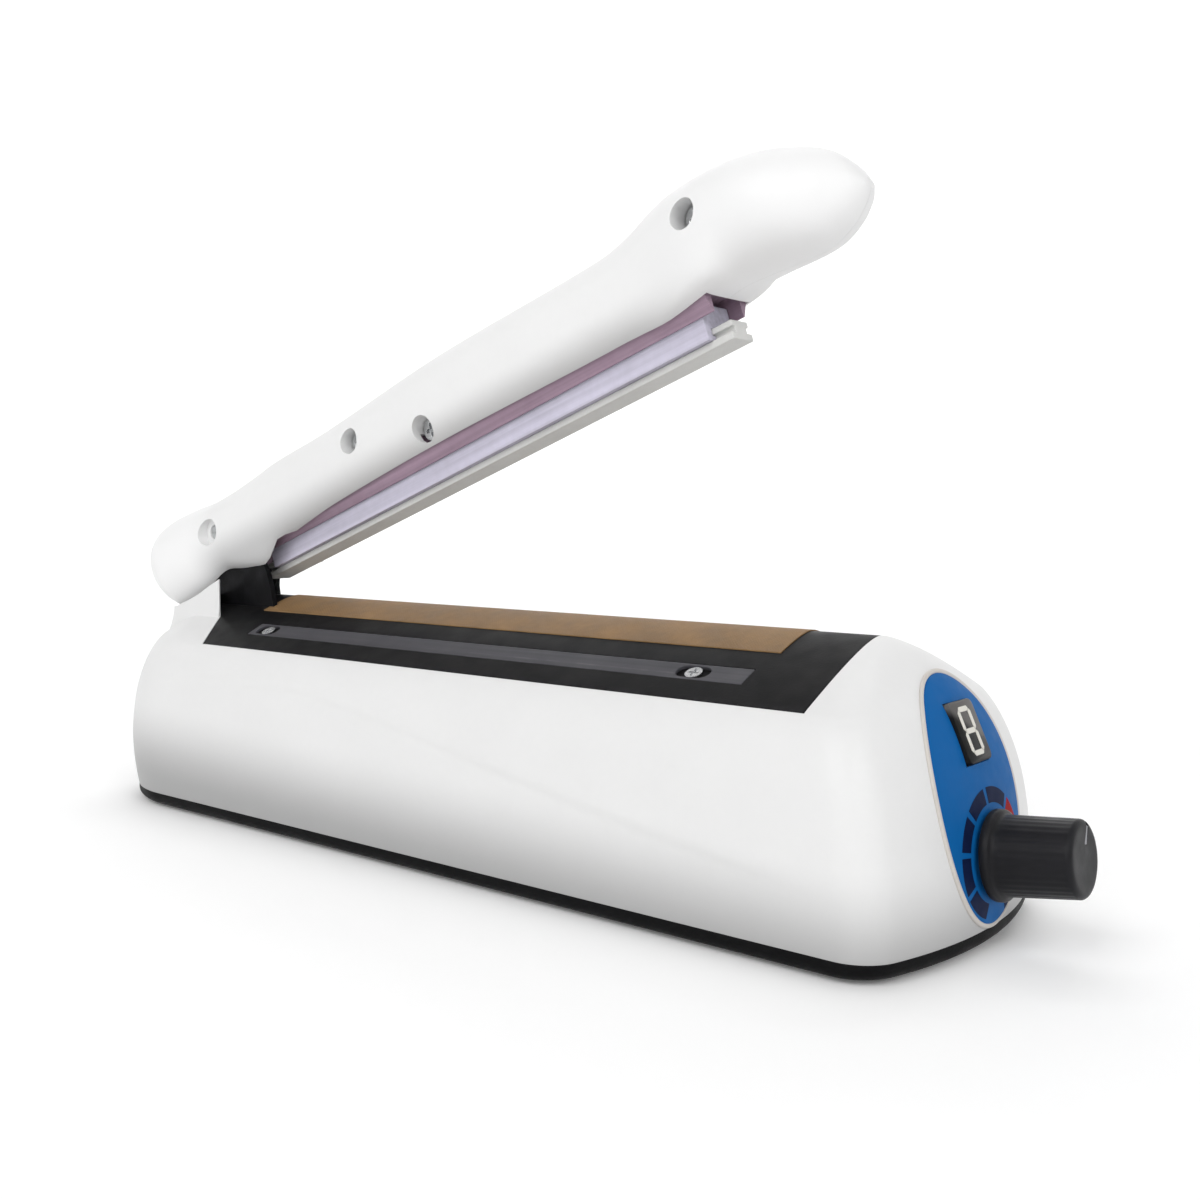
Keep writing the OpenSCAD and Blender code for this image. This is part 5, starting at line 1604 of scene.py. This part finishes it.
@dataclass
class ControlPanel:
    """Blue panel on the nose with a dial, a one-digit display and the timer knob."""

    bench: Bench
    form: BodyForm
    proud: float = 0.5
    depth: float = 1.0
    rim: float = 0.62
    knob_height: float = 21.3
    knob_tilt: float = 7.0
    skirt: float = 10.25
    cap: float = 8.6
    knob_length: float = 19.6
    knob_gap: float = 0.5
    pointer_turn: float = 155.0
    display_height: float = 48.4
    display_lean: float = 24.0
    window: Point2 = (14.4, 12.0)
    window_top: float = 0.6
    digit: Point2 = (11.4, 6.4)
    bar: float = 1.2
    dial_centre: Point2 = (0.6, 21.6)
    dial_inner: Point2 = (11.9, 11.1)
    dial_outer: Point2 = (15.4, 14.6)
    dial_gaps: tuple[float, ...] = (-163, -121, -81, -44, -5, 41, 84, 126, 163)
    dial_gap: float = 5.5
    red_segment: int = 5
    bush_hole: float = 3.65
    window_gap: float = 0.15
    window_corner: float = 1.6
    window_deep: float = 6.4
    ribs: int = 36
    rib_depth: float = 0.06
    knob_bore: float = 6.7
    knob_round: Point2 = (1.7, 1.2)

    @staticmethod
    def outline(grow: float) -> list[Point2]:
        """Draws the egg-shaped outline of the panel.

        Args:
            grow: Growth to all sides.

        Returns:
            The closed outline in width and height.
        """
        wide, tall = PANEL_HALF[0] + grow, PANEL_HALF[1] + grow
        points = []
        steps = 120
        for i in range(steps):
            a = 2 * math.pi * i / steps
            points.append((wide * math.cos(a) * (1 + PANEL_EGG * math.sin(a)),
                           PANEL_MIDDLE + tall * math.sin(a)))
        return points

    def on_nose(self, y: float, z: float, lift: float) -> Point3:
        """Point on the nose at a width and height, lifted off it."""
        return self.form.nose_place(y, z) + lift, y, z

    @cached_property
    def knob_place(self) -> Matrix:
        """Frame of the knob's axis."""
        x = read_line(self.form.nose_table, self.knob_height) + self.proud
        return tilted((x, 0, self.knob_height), 90 - self.knob_tilt)

    @cached_property
    def display_place(self) -> Matrix:
        """Frame of the display window, with X down the window."""
        x = read_line(self.form.nose_table, self.display_height) + self.proud
        return tilted((x, 0, self.display_height), 90 - self.display_lean)

    def build(self) -> None:
        """Builds and dresses all pieces of the panel."""
        self.plate()
        self.rim_bead()
        self.dial()
        self.display()
        self.knob()

    def plate(self) -> None:
        """Builds the blue plate."""
        edge = self.outline(0)
        flat, steps = 0.985, 24
        levels = [(0.02, -self.depth), (1.0, -self.depth), (1.0, self.proud - 0.25),
                  (0.994, self.proud - 0.06)]
        levels += [(flat * (1 - k / steps), self.proud) for k in range(steps)]
        rings = []
        for share, lift in levels:
            rings.append([self.on_nose(y * share, PANEL_MIDDLE + (z - PANEL_MIDDLE) * share, lift)
                          for y, z in edge])
        obj = self.bench.skin("control_panel_skin", rings)
        h, w = (size / 2 + self.window_gap for size in self.window)
        self.bench.carve(obj, [
            self.bench.rod("bush_hole", self.bush_hole, -15, 15, self.knob_place),
            self.bench.block("window_hole", (-h, -w, -12), (h, w, 12), self.display_place),
        ])
        self.bench.shade(obj, 40)
        self.bench.place(obj, Body.BASE, PANEL_BLUE, "control_panel")

    def rim_bead(self) -> None:
        """Builds the pale bead round the panel."""
        edge = self.outline(0.35)
        count = len(edge)
        rings = []
        for i in range(count):
            y, z = edge[i]
            ahead, behind = edge[(i + 1) % count], edge[i - 1]
            size = math.hypot(ahead[0] - behind[0], ahead[1] - behind[1])
            out = ((ahead[1] - behind[1]) / size, -(ahead[0] - behind[0]) / size)
            x, _, _ = self.on_nose(y, z, 0.18)
            ring = []
            steps = 16
            for k in range(steps):
                a = 2 * math.pi * k / steps
                across = self.rim * math.cos(a)
                lift = 0.5 * math.sin(a) - 0.12 * max(math.cos(a), 0)
                ring.append((x + lift, y + out[0] * across, z + out[1] * across))
            rings.append(ring)
        obj = self.bench.skin("panel_rim_bead", rings + [rings[0]], capped=False)
        self.bench.shade(obj, 60)
        self.bench.place(obj, Body.BASE, PANEL_RIM)

    def dial(self) -> None:
        """Builds the printed segments round the knob."""
        for i, (a, b) in enumerate(zip(self.dial_gaps, self.dial_gaps[1:])):
            finish = DIAL_RED if i == self.red_segment else DIAL_NAVY
            self.dial_segment(i, a + self.dial_gap / 2, b - self.dial_gap / 2, finish)

    def dial_segment(self, number: int, start: float, end: float, finish: Finish) -> None:
        """Builds one printed segment as a thin film on the panel.

        Args:
            number: Number of the segment.
            start: First angle in degrees, clockwise from the top.
            end: Last angle.
            finish: Finish of the print.
        """
        rings = []
        steps, across = 16, 6
        for i in range(steps + 1):
            a = math.radians(start + (end - start) * i / steps)
            upper = [self.dial_point(a, k / across, self.proud + 0.05) for k in range(across + 1)]
            lower = [self.dial_point(a, k / across, self.proud - 0.04) for k in range(across, -1, -1)]
            rings.append(upper + lower)
        obj = self.bench.skin("dial_segment_%d" % (number + 1), rings)
        self.bench.shade(obj, 50)
        self.bench.place(obj, Body.BASE, finish)

    def dial_point(self, angle: float, share: float, lift: float) -> Point3:
        """Finds a point of the dial.

        Args:
            angle: Angle in radians, clockwise from the top.
            share: Share from the inner to the outer edge.
            lift: Height off the nose.

        Returns:
            The point.
        """
        wide = self.dial_inner[0] + (self.dial_outer[0] - self.dial_inner[0]) * share
        tall = self.dial_inner[1] + (self.dial_outer[1] - self.dial_inner[1]) * share
        return self.on_nose(self.dial_centre[0] + wide * math.sin(angle),
                            self.dial_centre[1] + tall * math.cos(angle), lift)

    def display(self) -> None:
        """Builds the window block and the seven bars of its digit."""
        corner = self.window_corner
        h, w = (size / 2 - corner for size in self.window)
        outline = []
        for sx, sy, first in ((1, 1, 0), (-1, 1, 90), (-1, -1, 180), (1, -1, 270)):
            for k in range(9):
                a = math.radians(first + 90 * k / 8)
                outline.append((sx * h + corner * math.cos(a), sy * w + corner * math.sin(a)))
        top = self.window_top
        rings = []
        levels = ((-self.window_deep, 0.0), (top - 0.3, 0.0), (top - 0.08, 0.012), (top, 0.035))
        for height, shrink in levels:
            rings.append([(x * (1 - shrink), y * (1 - shrink), height) for x, y in outline])
        obj = self.bench.skin("display_window", rings, self.display_place)
        self.bench.shade(obj, 40)
        self.bench.place(obj, Body.BASE, DISPLAY_BLACK_PAINTED_REFLECTION, "display_module")
        self.digit_bars()

    def digit_bars(self) -> None:
        """Builds the seven pointed bars of the digit as one piece."""
        tall, wide = self.digit
        top, apart = self.window_top, 0.3
        reach, side = (tall - self.bar) / 2, (wide - self.bar) / 2
        bars = [(k * reach, 0.0, wide - self.bar - apart, False) for k in (-1, 0, 1)]
        bars += [(k * reach / 2, s * side, reach - apart, True) for k in (-1, 1) for s in (-1, 1)]
        points: list[Point3] = []
        faces: list[list[int]] = []
        for cx, cy, length, upright in bars:
            base = len(points)
            for height, inset in ((top - 0.05, 0.0), (top + 0.1, 0.0), (top + 0.15, 0.06)):
                half, end = self.bar / 2 - inset, length / 2 - inset
                flat = [(-end, 0), (-end + half, -half), (end - half, -half),
                        (end, 0), (end - half, half), (-end + half, half)]
                points += [(cx + (p if upright else q), cy + (q if upright else p), height) for p, q in flat]
            count = len(flat)
            for a in (base, base + count):
                b = a + count
                faces += [[a + j, a + (j + 1) % count, b + (j + 1) % count, b + j] for j in range(count)]
            faces += [list(range(base, base + count)), list(range(base + 2 * count, base + 3 * count))]
        obj = self.bench.raw("digit_bars", points, faces, self.display_place)
        self.bench.shade(obj, 30)
        self.bench.place(obj, Body.BASE, DISPLAY_WHITE, "display_segments")

    def knob(self) -> None:
        """Builds the timer knob with its skirt and its fine ribs, and the pointer line on it."""
        n, cap = self.knob_length, self.cap
        sides = 288
        rings: list[Ring] = []
        for r, h in self.knob_profile():
            ribbed = ease(3.3, 4.6, h) * (1 - ease(n - 1.6, n - 0.7, h)) if r > cap - 0.5 else 0.0
            ring = []
            for k in range(sides):
                a = 2 * math.pi * k / sides
                rr = r - self.rib_depth * ribbed * (0.5 - 0.5 * math.cos(self.ribs * a))
                ring.append((rr * math.cos(a), rr * math.sin(a), h + self.knob_gap))
            rings.append(ring)
        obj = self.bench.skin("timer_knob", rings, self.knob_place)
        turn = self.knob_place @ Matrix.Rotation(math.radians(self.pointer_turn), 4, "Z")
        top = self.knob_gap + n
        self.bench.carve(obj, [self.bench.block("pointer_cut", (cap - 5.4, -0.55, top - 1.0),
                                                (cap + 3, 0.55, top + 3), turn)])
        self.bench.shade(obj, 38)
        self.bench.place(obj, Body.KNOB, KNOB_GREY, "control_knob")
        line = self.bench.block("pointer_line", (cap - 5.3, -0.5, top - 1.2),
                                (cap - 1.2, 0.5, top - 0.1), turn)
        self.bench.soften(line, 0.12, 2)
        self.bench.even_shade(line)
        self.bench.place(line, Body.KNOB, POINTER)

    def knob_profile(self) -> list[Point2]:
        """Lists the knob's profile from its bore over the skirt to the middle of its face.

        Returns:
            Points as radius and height.
        """
        n, cap, skirt = self.knob_length, self.cap, self.skirt
        wide, tall = self.knob_round
        taper, foot = 0.42, 3.1
        profile = [(self.knob_bore, 3.4), (self.knob_bore, 0.0), (skirt - 0.35, 0.0), (skirt - 0.1, 0.1),
                   (skirt, 0.35), (skirt, 1.5), (skirt - 0.15, 1.9), (skirt - 0.5, 2.15), (cap + 0.75, 2.35),
                   (cap + 0.5, 2.6), (cap + taper, foot)]
        for k in range(1, 13):
            profile.append((cap + taper - taper * k / 12, foot + (n - tall - foot) * k / 12))
        for k in range(1, 9):
            a = math.pi / 2 * k / 8
            profile.append((cap - wide * (1 - math.cos(a)), n - tall + tall * math.sin(a)))
        return profile + [(cap - 2.6, n - 0.02), (cap - 4.5, n - 0.12), (2.0, n - 0.2), (0.05, n - 0.2)]


@dataclass
class InnerWorks:
    """Pieces inside the body, which keep their solids and get finishes."""

    bench: Bench

    def dress(self) -> None:
        """Gives every node that still shows its own solid its finish."""
        for name, obj in self.bench.nodes.items():
            material = self.bench.finishes.material(BY_SLOT[self.bench.slot_of[name]])
            if not obj.material_slots:
                obj.data.materials.append(material)
            for socket in obj.material_slots:
                socket.material = material
            log.info("node %s is dressed in %s", name, material.name)


@dataclass
class Studio:
    """Camera of the photograph, soft lights and a pale floor."""

    camera_at: Point3 = (0.2613, -0.2765, 0.0986)
    camera_turn: Point3 = (85.93, 0.0, 39.51)
    lens: float = 39.126
    world_strength: float = 0.26
    floor_radius: float = 2.6
    floor_bend: float = 1.2
    floor_top: float = 4.0
    floor_white: float = 0.96
    floor_glow: float = 0.08
    lights: dict[str, tuple[Point3, Point3, float, float]] = field(default_factory=lambda: {
        "key": ((0.1, -1.2, 1.05), (0.0, 0.0, 0.07), 0.9, 8.4),
        "fill": ((1.25, -0.55, 1.0), (0.0, 0.0, 0.1), 0.8, 6.0),
        "top": ((0.1, 0.3, 1.6), (0.0, 0.0, 0.05), 1.0, 1.5),
        "backdrop": ((-1.1, 1.35, 2.9), (-2.5, 3.0, 0.9), 2.2, 62.0),
    })

    def build(self) -> None:
        """Sets up the camera, the lights, the world and the floor."""
        data = bpy.data.cameras.new("photo_camera")
        data.lens = self.lens
        data.sensor_width = 36.0
        data.clip_start = 0.01
        data.clip_end = 50.0
        camera = bpy.data.objects.new("photo_camera", data)
        camera.location = self.camera_at
        camera.rotation_euler = [math.radians(a) for a in self.camera_turn]
        bpy.context.scene.collection.objects.link(camera)
        bpy.context.scene.camera = camera
        for name, (place, aim, size, power) in self.lights.items():
            self.lamp(name, place, aim, size, power)
        world = bpy.data.worlds.new("studio_world")
        world.use_nodes = True
        back = world.node_tree.nodes["Background"]
        back.inputs["Color"].default_value = (1.0, 1.0, 1.0, 1.0)
        back.inputs["Strength"].default_value = self.world_strength
        bpy.context.scene.world = world
        bpy.context.scene.view_settings.view_transform = "Standard"
        self.floor()

    @staticmethod
    def lamp(name: str, place: Point3, aim: Point3, size: float, power: float) -> None:
        """Adds one soft light.

        Args:
            name: Name of the light.
            place: Where it stands, in metres.
            aim: Point that it faces.
            size: Side of its square face.
            power: Power in watts.
        """
        data = bpy.data.lights.new(name + "_light", "AREA")
        data.energy = power
        data.size = size
        lamp = bpy.data.objects.new(name + "_light", data)
        lamp.location = place
        lamp.rotation_euler = (Vector(aim) - Vector(place)).to_track_quat("-Z", "Y").to_euler()
        bpy.context.scene.collection.objects.link(lamp)

    def floor(self) -> None:
        """Adds the pale floor, which rises into a backdrop all round."""
        radius, bend, sides = self.floor_radius, self.floor_bend, 96
        profile = [(0.001, 0.0), (1.0, 0.0), (radius, 0.0)]
        for degrees in range(6, 91, 6):
            a = math.radians(degrees)
            profile.append((radius + bend * math.sin(a), bend - bend * math.cos(a)))
        profile.append((radius + bend, self.floor_top))
        points = [(r * math.cos(2 * math.pi * k / sides), r * math.sin(2 * math.pi * k / sides), z)
                  for r, z in profile for k in range(sides)]
        faces = []
        for a in range(0, (len(profile) - 1) * sides, sides):
            b = a + sides
            faces += [(a + k, a + (k + 1) % sides, b + (k + 1) % sides, b + k) for k in range(sides)]
        mesh = bpy.data.meshes.new("studio_floor")
        mesh.from_pydata(points, [], faces)
        for polygon in mesh.polygons:
            polygon.use_smooth = True
        made = bpy.data.materials.new("studio_floor")
        made.use_nodes = True
        shader = made.node_tree.nodes["Principled BSDF"]
        shader.inputs["Base Color"].default_value = (*[self.floor_white] * 3, 1.0)
        shader.inputs["Roughness"].default_value = 0.8
        shader.inputs["Emission Color"].default_value = (1.0, 1.0, 1.0, 1.0)
        shader.inputs["Emission Strength"].default_value = self.floor_glow
        mesh.materials.append(made)
        obj = bpy.data.objects.new("studio_floor", mesh)
        bpy.context.scene.collection.objects.link(obj)


def main() -> None:
    """Builds the sealer's looks over its frame."""
    logging.basicConfig(level=logging.INFO, format="%(message)s")
    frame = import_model()
    Studio().build()
    bench = Bench(frame)
    form = BodyForm()
    InnerWorks(bench).dress()
    BaseBody(bench, form).build()
    TopPlate(bench, form).build()
    PressArm(bench).build()
    ControlPanel(bench, form).build()


if __name__ == "__main__":
    main()
